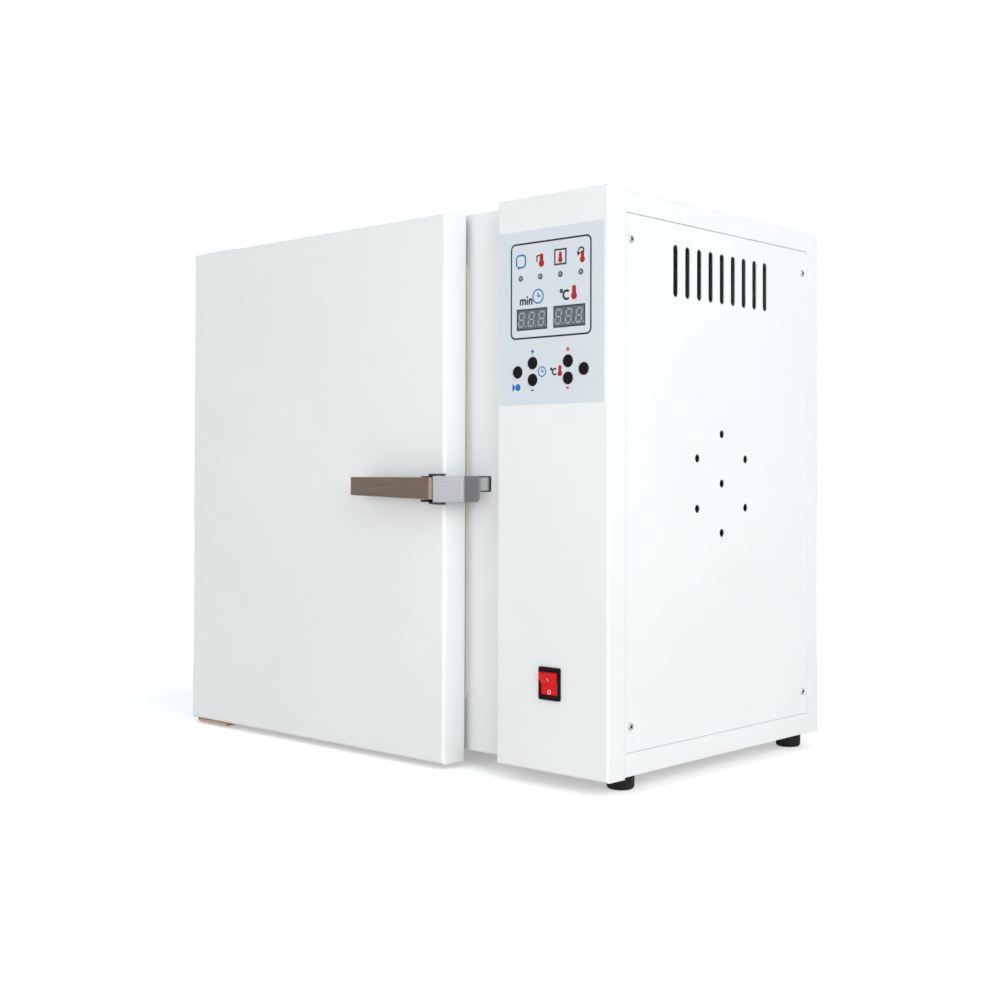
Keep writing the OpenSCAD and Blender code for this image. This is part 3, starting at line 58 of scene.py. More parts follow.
EYE = Vector((1.1106, -1.1984, 0.2890))
EYE_YAW = math.radians(42.72)
EYE_PITCH = math.radians(0.99)
EYE_ROLL = math.radians(-0.18)
LENS_MM = 51.99
SENSOR_MM = 36.0
SHIFT_RIGHT = 0.0079
SHIFT_UP = -0.0483
SIGHT_END = 50.0

look = Vector((
    -math.sin(EYE_YAW) * math.cos(EYE_PITCH),
    math.cos(EYE_YAW) * math.cos(EYE_PITCH),
    math.sin(EYE_PITCH),
))
level = Vector((math.cos(EYE_YAW), math.sin(EYE_YAW), 0.0))
upward = level.cross(look)
camera_data = bpy.data.cameras.new("camera")
camera_data.lens = LENS_MM
camera_data.sensor_width = SENSOR_MM
camera_data.shift_x = SHIFT_RIGHT
camera_data.shift_y = SHIFT_UP
camera_data.clip_end = SIGHT_END
camera = bpy.data.objects.new("camera", camera_data)
bpy.context.scene.collection.objects.link(camera)
turn = Matrix((level, upward, -look)).transposed().to_4x4()
camera.matrix_world = Matrix.Translation(EYE) @ Matrix.Rotation(EYE_ROLL, 4, look) @ turn
bpy.context.scene.camera = camera


# The case is folded from 1.2 mm sheet steel, with a front plate, a rear cover and
# a base tray, all in a white powder coat with a fine orange peel. Its folded edges
# are slightly rounded, and hands leave faint marks on them.

def shader_group(name, inputs, outputs):
    """A new shader group with number inputs (name: default) and number or Normal outputs."""
    group = bpy.data.node_groups.new(name, "ShaderNodeTree")
    for label, value in inputs.items():
        socket = group.interface.new_socket(
            name=label, in_out="INPUT", socket_type="NodeSocketFloat",
        )
        socket.default_value = value
    for label in outputs:
        kind = "NodeSocketVector" if label == "Normal" else "NodeSocketFloat"
        group.interface.new_socket(name=label, in_out="OUTPUT", socket_type=kind)
    return group, group.nodes.new("NodeGroupInput").outputs, group.nodes.new("NodeGroupOutput")


def put(tree, kind, values=None, **settings):
    """A new node of that kind, with its settings and its sockets' values or links."""
    node = tree.nodes.new(kind)
    for label, value in settings.items():
        setattr(node, label, value)
    for label, value in (values or {}).items():
        if isinstance(value, bpy.types.NodeSocket):
            tree.links.new(value, node.inputs[label])
        else:
            node.inputs[label].default_value = value
    return node


def feed(tree, node, **links):
    """Links sockets to a node's inputs, named with _ for a space."""
    for label, socket in links.items():
        tree.links.new(socket, node.inputs[label.replace("_", " ")])


def maths(tree, operation, a, b=0.0, clamp=False):
    return put(tree, "ShaderNodeMath", {0: a, 1: b}, operation=operation, use_clamp=clamp).outputs[0]


def own_place(tree):
    """The piece's own coordinates, in metres, which ride with it."""
    return put(tree, "ShaderNodeTexCoord").outputs["Object"]


def noise(tree, place, scale, detail=2.0, roughness=0.5, distortion=0.0):
    values = {
        "Vector": place, "Scale": scale, "Detail": detail,
        "Roughness": roughness, "Distortion": distortion,
    }
    return put(tree, "ShaderNodeTexNoise", values).outputs["Fac"]


def spread(tree, value, low, high, to_low=0.0, to_high=1.0):
    """Takes the range from low to high to the range from to_low to to_high, held at its ends."""
    values = {"Value": value, "From Min": low, "From Max": high, "To Min": to_low, "To Max": to_high}
    return put(tree, "ShaderNodeMapRange", values).outputs["Result"]


def orange_peel():
    """Sprayed paint and moulded skins: a ripple's height and a slow change of tone."""
    group, given, result = shader_group("orange_peel", {"Size": 0.0012}, ["Height", "Tone"])
    per_metre = maths(group, "DIVIDE", 1.0, given["Size"])
    place = own_place(group)
    ripples = noise(group, place, per_metre, detail=2.0, roughness=0.55)
    tone = noise(group, place, scale=4.0, detail=3.0, roughness=0.6, distortion=0.4)
    feed(group, result, Height=ripples, Tone=tone)
    return group


def hand_marks():
    """What hands and cloths leave: soft patches with finer smears in them."""
    group, given, result = shader_group("hand_marks", {"Patches": 9.0, "Amount": 0.5}, ["Mask"])
    place = own_place(group)
    patches = noise(group, place, given["Patches"], detail=4.0, roughness=0.6, distortion=0.8)
    patches = spread(group, patches, 0.48, 0.72)
    smears = noise(group, place, scale=160.0, detail=3.0, roughness=0.7, distortion=1.5)
    smears = spread(group, smears, 0.35, 0.75)
    marks = maths(group, "MULTIPLY", patches, smears)
    feed(group, result, Mask=maths(group, "MULTIPLY", marks, given["Amount"], clamp=True))
    return group


def settled_dust():
    """Dust that settles on what faces up."""
    group, given, result = shader_group("settled_dust", {"Amount": 0.3}, ["Mask"])
    normal = put(group, "ShaderNodeNewGeometry").outputs["Normal"]
    facing = put(group, "ShaderNodeSeparateXYZ", {0: normal}).outputs["Z"]
    level_up = spread(group, facing, 0.6, 0.98)
    specks = noise(group, own_place(group), scale=420.0, detail=4.0, roughness=0.7)
    dusty = maths(group, "MULTIPLY", level_up, spread(group, specks, 0.42, 0.62))
    feed(group, result, Mask=maths(group, "MULTIPLY", dusty, given["Amount"]))
    return group


def edge_wear():
    """A normal that rounds the edges, and wear where it leaves the flat one."""
    group, given, result = shader_group(
        "edge_wear", {"Width": 0.0005, "Amount": 0.5}, ["Mask", "Normal"],
    )
    rounded = put(group, "ShaderNodeBevel", {"Radius": given["Width"]}, samples=4).outputs["Normal"]
    flat = put(group, "ShaderNodeNewGeometry").outputs["True Normal"]
    same = put(group, "ShaderNodeVectorMath", {0: rounded, 1: flat}, operation="DOT_PRODUCT")
    rubbed = spread(group, same.outputs["Value"], 0.995, 0.86)
    broken = noise(group, own_place(group), scale=260.0, detail=4.0, roughness=0.7)
    rubbed = maths(group, "MULTIPLY", rubbed, spread(group, broken, 0.38, 0.66))
    feed(group, result, Mask=maths(group, "MULTIPLY", rubbed, given["Amount"]), Normal=rounded)
    return group


peel_group = orange_peel()
marks_group = hand_marks()
dust_group = settled_dust()
wear_group = edge_wear()


def effect(tree, group, **values):
    """The group placed in a material, with this material's own values."""
    node = tree.nodes.new("ShaderNodeGroup")
    node.node_tree = group
    for label, value in values.items():
        node.inputs[label].default_value = value
    return node.outputs


def toned(colour, share, lift=0.0):
    """A darker or paler tone of a colour."""
    return tuple(min(1.0, c * share + lift) for c in colour)


def colour_mix(tree, share, a, b):
    """Colour a where the share is 0 and b where it is 1."""
    node = put(tree, "ShaderNodeMix", data_type="RGBA")
    for socket, value in ((node.inputs[0], share), (node.inputs[6], a), (node.inputs[7], b)):
        if isinstance(value, bpy.types.NodeSocket):
            tree.links.new(value, socket)
        else:
            socket.default_value = (*value, 1.0)
    return node.outputs[2]


def duller(tree, roughness, mask, by):
    """Roughness, raised by that much where the mask is."""
    return maths(tree, "ADD", roughness, maths(tree, "MULTIPLY", mask, by))


def bump(tree, height, strength, depth, over=None):
    """A normal bumped by height, on top of another normal where one is given."""
    values = {"Height": height, "Strength": strength, "Distance": depth}
    if over:
        values["Normal"] = over
    return put(tree, "ShaderNodeBump", values).outputs["Normal"]


def new_material(name, **settings):
    """A material and its shader, with the constants set on the shader's own sockets."""
    material = bpy.data.materials.new(name)
    material.use_nodes = True
    shader = material.node_tree.nodes["Principled BSDF"]
    for label, value in settings.items():
        shader.inputs[label.replace("_", " ")].default_value = value
    return material, material.node_tree, shader


def coated_steel(name, colour, worn_to, peel_size, rough, wear, dust):
    """Powder coat: even colour, orange peel, hand marks, dust on top and bare metal where rubbed."""
    material, tree, shader = new_material(name, Specular_IOR_Level=0.45)
    peel = effect(tree, peel_group, Size=peel_size)
    hands = effect(tree, marks_group, Patches=7.0, Amount=0.55)
    settled = effect(tree, dust_group, Amount=dust)
    worn = effect(tree, wear_group, Width=0.0006, Amount=wear)
    body = colour_mix(tree, spread(tree, peel["Tone"], 0.35, 0.65), colour, toned(colour, 0.965))
    body = colour_mix(tree, settled["Mask"], body, (0.62, 0.60, 0.56))
    body = colour_mix(tree, worn["Mask"], body, worn_to)
    roughness = spread(tree, peel["Tone"], 0.3, 0.7, rough - 0.03, rough + 0.04)
    roughness = duller(tree, roughness, hands["Mask"], by=0.12)
    roughness = duller(tree, roughness, settled["Mask"], by=0.5)
    skin = bump(tree, peel["Height"], strength=0.16, depth=0.00012, over=worn["Normal"])
    feed(tree, shader, Base_Color=body, Roughness=roughness, Normal=skin)
    return material


def dress(material, *names):
    """Gives CAD nodes their material."""
    for name in names:
        nodes[name].data.materials.clear()
        nodes[name].data.materials.append(material)


white_coat = coated_steel(
    "white_powder_coat", colour=(0.86, 0.875, 0.89), worn_to=(0.70, 0.70, 0.70),
    peel_size=0.0014, rough=0.36, wear=0.25, dust=0.10,
)
dress(white_coat, "case_wrap", "front_frame", "base_tray", "rear_cover")


# Four moulded rubber feet with a slight taper, a collar at the top and a rounded
# tread stand under the base tray. A plated screw through the middle of each
# foot's well holds it.

def moulded_rubber(name, colour):
    """Matt rubber with a moulded skin, grey scuffs and dust."""
    material, tree, shader = new_material(name, Specular_IOR_Level=0.2)
    peel = effect(tree, peel_group, Size=0.0007)
    settled = effect(tree, dust_group, Amount=0.8)
    scuffs = effect(tree, marks_group, Patches=60.0, Amount=0.9)
    body = colour_mix(tree, scuffs["Mask"], colour, (0.10, 0.10, 0.10))
    body = colour_mix(tree, settled["Mask"], body, (0.30, 0.29, 0.27))
    roughness = spread(tree, peel["Tone"], 0.3, 0.7, 0.55, 0.72)
    skin = bump(tree, peel["Height"], strength=0.35, depth=0.0001)
    feed(tree, shader, Base_Color=body, Roughness=roughness, Normal=skin)
    return material


def plated_steel(name, colour, rough):
    """Zinc plate: a metal with faint cloudy patches, a light sheen and brighter rubbed edges."""
    material, tree, shader = new_material(name, Metallic=1.0)
    clouds = noise(tree, own_place(tree), scale=55.0, detail=4.0, roughness=0.65, distortion=0.6)
    hands = effect(tree, marks_group, Patches=30.0, Amount=0.8)
    peel = effect(tree, peel_group, Size=0.0006)
    worn = effect(tree, wear_group, Width=0.0003, Amount=0.4)
    body = colour_mix(tree, spread(tree, clouds, 0.3, 0.7), colour, toned(colour, 0.86))
    body = colour_mix(tree, hands["Mask"], body, toned(colour, 0.7))
    body = colour_mix(tree, worn["Mask"], body, toned(colour, 1.2))
    roughness = spread(tree, clouds, 0.3, 0.7, rough, rough + 0.12)
    roughness = duller(tree, roughness, hands["Mask"], by=0.2)
    skin = bump(tree, peel["Height"], strength=0.1, depth=0.00005, over=worn["Normal"])
    feed(tree, shader, Base_Color=body, Roughness=roughness, Normal=skin)
    return material


def lathe(profile, sides):
    """A turned body about Z from (radius, z) pairs, bottom to top; a radius of 0 closes an end."""
    mesh = bmesh.new()
    rings = []
    for radius, z in profile:
        if radius == 0:
            rings.append([mesh.verts.new((0, 0, z))])
        else:
            rings.append([
                mesh.verts.new((radius * math.cos(a), radius * math.sin(a), z))
                for a in (2 * math.pi * i / sides for i in range(sides))
            ])
    for lower, upper in zip(rings, rings[1:]):
        for i in range(sides):
            j = (i + 1) % sides
            corners = [
                lower[i % len(lower)], lower[j % len(lower)],
                upper[j % len(upper)], upper[i % len(upper)],
            ]
            corners = list(dict.fromkeys(corners))
            if len(corners) > 2:
                mesh.faces.new(corners)
    bmesh.ops.recalc_face_normals(mesh, faces=mesh.faces)
    return mesh


def add_to(whole, part):
    """Moves one built mesh into another."""
    data = bpy.data.meshes.new("part")
    part.to_mesh(data)
    part.free()
    whole.from_mesh(data)
    bpy.data.meshes.remove(data)


def solid_middles(name, axis, side):
    """The middles of a node's separate solids, on their low (0) or high (1) side along an axis."""
    mesh = bmesh.new()
    mesh.from_mesh(nodes[name].data)
    bmesh.ops.remove_doubles(mesh, verts=mesh.verts, dist=0.005 * MM)
    middles, seen = [], set()
    for start in mesh.verts:
        if start in seen:
            continue
        seen.add(start)
        waiting, solid = [start], []
        while waiting:
            corner = waiting.pop()
            solid.append(corner.co.copy())
            for edge in corner.link_edges:
                other = edge.other_vert(corner)
                if other not in seen:
                    seen.add(other)
                    waiting.append(other)
        low = Vector([min(p[i] for p in solid) for i in range(3)])
        high = Vector([max(p[i] for p in solid) for i in range(3)])
        middle = (low + high) / 2
        middle[axis] = (low, high)[side][axis]
        middles.append(middle)
    mesh.free()
    return sorted(middles, key=lambda p: tuple(round(c, 5) for c in p))


def as_piece(mesh, name, materials, body, smooth_angle=35.0):
    """Turns built geometry into a piece that rides on its body."""
    data = bpy.data.meshes.new(name)
    mesh.to_mesh(data)
    mesh.free()
    piece = bpy.data.objects.new(name, data)
    bpy.context.scene.collection.objects.link(piece)
    for material in materials:
        data.materials.append(material)
    data.shade_smooth()
    data.set_sharp_from_angle(angle=math.radians(smooth_angle))
    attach(piece, body)
    return piece


FOOT_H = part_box("feet")[1].z
FOOT_TOP_R = 14.0 * MM
FOOT_LOW_R = 13.0 * MM
TREAD_R = 3.0 * MM
TREAD_STEPS = 6
WELL_R = 5.3 * MM
WELL_H = 8.0 * MM
WELL_CHAMFER = 0.8 * MM
SHANK_R = 2.1 * MM
COLLAR_H = 2.2 * MM
COLLAR_SLOPE = 0.6 * MM
COLLAR_STEP = 0.7 * MM
COLLAR_CHAMFER = 0.4 * MM


def foot_profile():
    """From the shank's hole down the well, round the tread and up to the collar."""
    profile = [
        (SHANK_R, WELL_H), (WELL_R, WELL_H),
        (WELL_R, WELL_CHAMFER), (WELL_R + WELL_CHAMFER, 0.0),
    ]
    for step in range(TREAD_STEPS + 1):
        a = step / TREAD_STEPS * math.pi / 2
        profile.append((FOOT_LOW_R - TREAD_R * (1 - math.sin(a)), TREAD_R * (1 - math.cos(a))))
    return profile + [
        (FOOT_TOP_R - COLLAR_STEP, FOOT_H - COLLAR_H - COLLAR_SLOPE),
        (FOOT_TOP_R, FOOT_H - COLLAR_H), (FOOT_TOP_R, FOOT_H - COLLAR_CHAMFER),
        (FOOT_TOP_R - COLLAR_CHAMFER, FOOT_H), (SHANK_R, FOOT_H), (SHANK_R, WELL_H),
    ]


black_rubber = moulded_rubber("black_rubber", (0.012, 0.012, 0.013))
all_feet = bmesh.new()
for middle in solid_middles("feet", 2, 0):
    foot = lathe(foot_profile(), sides=48)
    bmesh.ops.remove_doubles(foot, verts=foot.verts, dist=0.001 * MM)
    foot.transform(Matrix.Translation((middle.x, middle.y, 0)))
    add_to(all_feet, foot)
feet = as_piece(all_feet, "rubber_feet", [black_rubber], "cabinet")
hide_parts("feet")

zinc = plated_steel("zinc_plate", (0.66, 0.67, 0.68), rough=0.28)
dress(zinc, "foot_screws")


# The chamber is a welded box of thin brushed stainless steel with a flanged
# mouth, side racks of folded sheet and a perforated wall before the fan. A cream
# silicone bulb seal is clipped round its mouth on the front plate.

def stretched(tree, place, scale):
    return put(tree, "ShaderNodeVectorMath", {0: place, 1: scale}, operation="MULTIPLY").outputs[0]


def brushed_metal(name, colour, stretch, rough, streak=0.12):
    """Brushed steel whose grain runs where stretch, in scratches to the metre, is small."""
    material, tree, shader = new_material(name, Metallic=1.0)
    place = own_place(tree)
    scratches = noise(tree, stretched(tree, place, stretch), scale=1.0, detail=5.0, roughness=0.7)
    finer = tuple(3.3 * s for s in stretch)
    hairlines = noise(tree, stretched(tree, place, finer), scale=1.0, detail=2.0, roughness=0.6)
    hands = effect(tree, marks_group, Patches=16.0, Amount=0.9)
    worn = effect(tree, wear_group, Width=0.0005, Amount=0.5)
    scratches = maths(tree, "MULTIPLY", scratches, 0.6)
    grain = maths(tree, "ADD", scratches, maths(tree, "MULTIPLY", hairlines, 0.4))
    body = colour_mix(
        tree, spread(tree, grain, 0.35, 0.65), toned(colour, 1 - streak), toned(colour, 1 + streak),
    )
    body = colour_mix(tree, worn["Mask"], body, toned(colour, 1.3))
    roughness = spread(tree, grain, 0.3, 0.7, rough - 0.06, rough + 0.08)
    roughness = duller(tree, roughness, hands["Mask"], by=0.14)
    skin = bump(tree, grain, strength=0.5, depth=0.00003, over=worn["Normal"])
    feed(tree, shader, Base_Color=body, Roughness=roughness, Normal=skin)
    return material


def silicone_rubber(name, colour):
    """Soft cream rubber, darker where it is handled, with dust on top."""
    material, tree, shader = new_material(
        name, Specular_IOR_Level=0.4, Subsurface_Weight=0.2, Subsurface_Scale=0.003,
    )
    peel = effect(tree, peel_group, Size=0.0008)
    settled = effect(tree, dust_group, Amount=0.4)
    hands = effect(tree, marks_group, Patches=25.0, Amount=0.6)
    body = colour_mix(tree, hands["Mask"], colour, toned(colour, 0.82))
    body = colour_mix(tree, settled["Mask"], body, (0.5, 0.46, 0.4))
    roughness = spread(tree, peel["Tone"], 0.3, 0.7, 0.48, 0.6)
    skin = bump(tree, peel["Height"], strength=0.2, depth=0.0001)
    feed(tree, shader, Base_Color=body, Roughness=roughness, Normal=skin)
    return material


chamber_steel = brushed_metal(
    "chamber_steel", (0.58, 0.58, 0.59), stretch=(420.0, 420.0, 7.0), rough=0.34, streak=0.15,
)
dress(chamber_steel, "chamber", "shelf_runners", "fan_baffle", "vent_tube")
cream_silicone = silicone_rubber("cream_silicone", (0.78, 0.72, 0.60))
dress(cream_silicone, "door_seal")


# Slabs of yellow-grey mineral wool are cut to size. They fill the space round the
# chamber and the inside of the door, and nothing else holds them.

def mineral_wool(name, colour):
    """Fibres that run up the slab, in soft clumps."""
    material, tree, shader = new_material(name, Specular_IOR_Level=0.1, Sheen_Weight=0.3)
    place = own_place(tree)
    fibres = stretched(tree, place, (900.0, 900.0, 160.0))
    strands = noise(tree, fibres, scale=1.0, detail=5.0, roughness=0.7, distortion=2.0)
    clumps = noise(tree, place, scale=70.0, detail=4.0, roughness=0.6, distortion=0.5)
    body = colour_mix(tree, spread(tree, strands, 0.3, 0.7), toned(colour, 0.7), colour)
    body = colour_mix(tree, spread(tree, clumps, 0.4, 0.8), body, toned(colour, 0.8))
    height = maths(tree, "ADD", strands, maths(tree, "MULTIPLY", clumps, 1.5))
    roughness = spread(tree, strands, 0.2, 0.8, 0.85, 1.0)
    skin = bump(tree, height, strength=0.8, depth=0.0015)
    feed(tree, shader, Base_Color=body, Roughness=roughness, Normal=skin)
    return material


dress(mineral_wool("mineral_wool", (0.72, 0.66, 0.48)), "insulation", "door_insulation")


# Behind the baffle a riveted stainless fan wheel turns on the motor's shaft,
# inside two rings of sheathed heating tube that heat has turned brown. The motor
# is black and hangs on a plated bracket outside the insulation.

dress(chamber_steel, "fan_wheel", "temperature_probe")
dress(zinc, "fan_shaft", "motor_bracket")
heated_steel = brushed_metal(
    "heated_steel", (0.34, 0.27, 0.22), stretch=(90.0, 90.0, 90.0), rough=0.42, streak=0.22,
)
dress(heated_steel, "heating_element")
black_coat = coated_steel(
    "black_coat", colour=(0.02, 0.02, 0.022), worn_to=(0.30, 0.30, 0.30),
    peel_size=0.0010, rough=0.42, wear=0.6, dust=0.25,
)
dress(black_coat, "fan_motor")


# Three shelves of welded stainless wire, electropolished, lie on the side racks
# and slide out by hand.

bright_wire = brushed_metal(
    "bright_wire", (0.78, 0.78, 0.79), stretch=(60.0, 60.0, 60.0), rough=0.16, streak=0.05,
)
dress(bright_wire, "shelf_lower", "shelf_middle", "shelf_upper")


# Behind the column stand the partition of plated steel, the circuit board with
# its green lacquer, the black relay, the safety thermostat and a row of nylon
# screw terminals.

def moulded_plastic(name, colour, rough, peel_size, gloss=0.4):
    """Moulded plastic: an etched skin, a slow change of gloss and paler rubbed edges."""
    material, tree, shader = new_material(name, Specular_IOR_Level=gloss)
    peel = effect(tree, peel_group, Size=peel_size)
    hands = effect(tree, marks_group, Patches=40.0, Amount=0.7)
    worn = effect(tree, wear_group, Width=0.0004, Amount=0.5)
    body = colour_mix(tree, spread(tree, peel["Tone"], 0.3, 0.7), colour, toned(colour, 0.9))
    body = colour_mix(tree, worn["Mask"], body, toned(colour, 1.25, lift=0.03))
    roughness = spread(tree, peel["Tone"], 0.3, 0.7, rough, rough + 0.08)
    roughness = duller(tree, roughness, hands["Mask"], by=0.15)
    skin = bump(tree, peel["Height"], strength=0.25, depth=0.00008, over=worn["Normal"])
    feed(tree, shader, Base_Color=body, Roughness=roughness, Normal=skin)
    return material


def circuit_board(name, lacquer, track):
    """Green lacquer over copper tracks, which show as slightly paler raised bands."""
    material, tree, shader = new_material(name, Specular_IOR_Level=0.5)
    place = own_place(tree)
    cells = put(tree, "ShaderNodeTexVoronoi", {"Vector": place, "Scale": 260.0}, distance="MANHATTAN")
    bands = spread(tree, cells.outputs["Distance"], 0.28, 0.34)
    hands = effect(tree, marks_group, Patches=30.0, Amount=0.5)
    body = colour_mix(tree, bands, lacquer, track)
    roughness = spread(tree, hands["Mask"], 0.0, 1.0, 0.28, 0.5)
    skin = bump(tree, bands, strength=0.3, depth=0.00006)
    feed(tree, shader, Base_Color=body, Roughness=roughness, Normal=skin)
    return material


dress(zinc, "partition_wall")
natural_nylon = moulded_plastic("natural_nylon", (0.74, 0.72, 0.66), rough=0.42, peel_size=0.0008)
dress(natural_nylon, "safety_thermostat", "terminal_block")
black_nylon = moulded_plastic(
    "black_nylon", (0.006, 0.006, 0.007), rough=0.42, peel_size=0.0006, gloss=0.09,
)
dress(black_nylon, "power_relay")
green_board = circuit_board("circuit_board", lacquer=(0.01, 0.10, 0.045), track=(0.02, 0.16, 0.07))
dress(green_board, "control_board")


# The rear cover carries the cable gland and the fuse holder, both moulded in
# black nylon. Eight plated pan head screws hold it, with cross recesses painted
# dark as shade.

HEAD_R = 3.8 * MM
HEAD_H = 1.4 * MM
HEAD_WALL = 0.45 * HEAD_H
HEAD_FLAT = 0.62 * HEAD_R
HEAD_SIDES = 32
RECESS_ARM = 0.60 * HEAD_R
RECESS_HALF = 0.16 * HEAD_R
RECESS_TOP = 0.995 * HEAD_H
RECESS_FLOOR = 0.25 * HEAD_H
RECESS_DRAFT = 0.8
FIRST_TURN = 0.7
NEXT_TURN = 1.9


def cross(arm, half):
    """The twelve corners of an upright cross, counted from the right arm."""
    return [
        (a * u - b * v, b * u + a * v)
        for a, b in ((1, 0), (0, 1), (-1, 0), (0, -1))
        for u, v in ((arm, -half), (arm, half), (half, half))
    ]


def round_about(verts):
    """Corners in order round the Z axis."""
    return sorted(verts, key=lambda v: math.atan2(v.co.y, v.co.x))


def screw_head():
    """A pan head on z = 0 that rises to +Z, with a cross recess cut in its crown."""
    crown = [(HEAD_R, 0.0), (HEAD_R, HEAD_WALL)]
    for a in (step / 5 * math.pi / 2 for step in range(1, 5)):
        out = HEAD_FLAT + (HEAD_R - HEAD_FLAT) * math.cos(a)
        crown.append((out, HEAD_WALL + (HEAD_H - HEAD_WALL) * math.sin(a)))
    head = lathe(crown, HEAD_SIDES)
    rim = round_about([v for v in head.verts if abs(v.co.z - crown[-1][1]) < 1e-9])
    outline = cross(RECESS_ARM, RECESS_HALF)
    upper = [head.verts.new((x, y, RECESS_TOP)) for x, y in outline]
    lower = [
        head.verts.new((x * RECESS_DRAFT, y * RECESS_DRAFT, RECESS_FLOOR)) for x, y in outline
    ]
    edges = [head.edges.get((rim[i - 1], rim[i])) for i in range(HEAD_SIDES)]
    edges += [head.edges.new((upper[i - 1], upper[i])) for i in range(len(upper))]
    bmesh.ops.triangle_fill(head, edges=edges, use_beauty=True)
    for face in [f for f in head.faces if all(v in upper for v in f.verts)]:
        head.faces.remove(face)
    recess = [
        head.faces.new((upper[i - 1], upper[i], lower[i], lower[i - 1])) for i in range(len(upper))
    ]
    recess.append(head.faces.new(lower))
    # The recess's faces take the second material, a painted shade
    for face in recess:
        face.material_index = 1
    head.faces.new(round_about([v for v in head.verts if abs(v.co.z) < 1e-9]))
    bmesh.ops.recalc_face_normals(head, faces=head.faces)
    return head


def cross_head_screws(name, node, axis, direction):
    """New heads on a node's own screws, crowns in that direction, each turned differently."""
    direction = Vector(direction)
    aim = direction.to_track_quat("Z", "X").to_matrix().to_4x4()
    heads = bmesh.new()
    for i, top in enumerate(solid_middles(node, axis, 1)):
        head = screw_head()
        turned = Matrix.Rotation(FIRST_TURN + NEXT_TURN * i, 4, "Z")
        head.transform(Matrix.Translation(top - direction * HEAD_H) @ aim @ turned)
        add_to(heads, head)
    piece = as_piece(heads, name, [zinc, recess_painted_shade], "cabinet")
    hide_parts(node)


# Near-black plating for the screws' recesses, as painted shade
recess_painted_shade = plated_steel("recess_painted_shade", (0.05, 0.05, 0.055), rough=0.55)
cross_head_screws("rear_screw_heads", "rear_screws", 1, (0, 1, 0))
dress(black_nylon, "cable_gland", "fuse_holder")


# The column's cover is a shallow folded tray in front of the case, in the same
# white coat, with openings for the keypad, the displays and the power switch.

dress(white_coat, "control_cover")


# The keypad is a printed polyester film with a fine matt grain, glued on the
# cover. Six black buttons, four lamps and two displays stand in its openings. The
# displays are grey filter plastic with milky bars, unlit.

def printed_film(name, colour):
    """Matt polyester film, a little darker where fingers touch it."""
    material, tree, shader = new_material(name, Specular_IOR_Level=0.4)
    peel = effect(tree, peel_group, Size=0.00035)
    hands = effect(tree, marks_group, Patches=22.0, Amount=0.8)
    body = colour_mix(tree, spread(tree, peel["Tone"], 0.3, 0.7), colour, toned(colour, 0.97))
    body = colour_mix(tree, hands["Mask"], body, toned(colour, 0.93))
    roughness = spread(tree, hands["Mask"], 0.0, 1.0, 0.46, 0.62)
    skin = bump(tree, peel["Height"], strength=0.3, depth=0.00004)
    feed(tree, shader, Base_Color=body, Roughness=roughness, Normal=skin)
    return material


dress(printed_film("overlay_film", (0.68, 0.735, 0.79)), "keypad_overlay")
display_face = moulded_plastic(
    "display_face", (0.125, 0.15, 0.17), rough=0.36, peel_size=0.0005, gloss=0.2,
)
dress(display_face, "time_display", "temperature_display")
milky_bars = moulded_plastic(
    "milky_bars", (0.40, 0.43, 0.46), rough=0.40, peel_size=0.0004, gloss=0.2,
)
dress(milky_bars, "display_segments")
lamp_lens = moulded_plastic("lamp_lens", (0.26, 0.27, 0.28), rough=0.14, peel_size=0.0004)
dress(lamp_lens, "indicator_lamps")
dress(
    black_nylon, "button_start", "button_time_plus", "button_time_minus",
    "button_heat_plus", "button_heat_minus", "button_menu",
)


# The symbols are screen-printed on the film in dark, blue and red ink that stands
# a few hundredths of a millimetre proud. Their places, sizes and line widths are
# in millimetres, to the right of and above the cover's lower left corner.

# Boxes: the left, low, right and high edges, and the frame's corner radius
FRAME_BOX = (18.6, 406.0, 115.8, 495.7, 5.0)
FRAME_LINE = 1.7
OVEN_BOX = (72.8, 472.4, 86.2, 486.0)
OVEN_LINE = 1.6

# Lines and outlines by their points, and the widths of their strokes
RISING_LINE = [(50.8, 477.0), (50.8, 482.4), (54.2, 483.2)]
SIGN_LINE = 1.5
CYCLE = [
    (25.0, 474.8), (25.0, 482.6), (27.2, 485.0), (34.4, 485.0),
    (36.4, 482.8), (36.4, 476.0), (34.2, 473.6), (27.6, 473.6),
]
CYCLE_LINE = 1.6
TIME_MINUS = [(43.8, 356.4), (47.3, 356.4)]
HEAT_MINUS = [(86.6, 357.2), (90.1, 357.2)]
MINUS_LINE = 1.4
TIME_PLUS = (45.5, 392.9)
HEAT_PLUS = (88.8, 392.9)
PLUS_ARM = 2.2
PLUS_LINE = 1.3
START_WEDGE = [(20.2, 356.0), (23.6, 358.4), (23.6, 361.0), (20.2, 363.4)]
LAMP_RING_R = 2.3
LAMP_RING_LINE = 0.9
# The painted shadow rims on the displays: their inset from each edge and their width
SHADOW_RIM_INSET = 0.6
SHADOW_RIM_LINE = 1.0

# Arcs: a middle, a radius, the angles where they start and end, and the steps between
FALLING_ARC = ((104.4, 482.4), 3.0, -20, 175, 12)
START_DISC = ((27.2, 359.7), 3.4, -150, 150, 16)

# Arrow heads: a place, a length and the angle that they point at
FALLING_HEAD = ((101.6, 481.6), 4.2, -110)
CYCLE_HEAD = ((28.4, 473.6), 3.0, 180)

# Units and clocks: a place, a size and a line's width; thermometers: a place and a height
DISPLAY_UNIT = ((86.0, 443.2), 9.4, 2.2)
KEY_UNIT = ((72.2, 372.7), 6.4, 1.6)
MINUTES = ((30.2, 440.4), 5.8, 1.75)
DISPLAY_CLOCK = ((52.2, 444.6), 6.4, 1.4)
KEY_CLOCK = ((57.3, 373.5), 4.5, 1.1)
THERMOMETERS = [
    ((56.4, 478.4), 12.5), ((79.5, 478.9), 9.8), ((105.8, 477.0), 11.0),
    ((96.0, 445.0), 13.0), ((79.2, 373.4), 10.0),
]

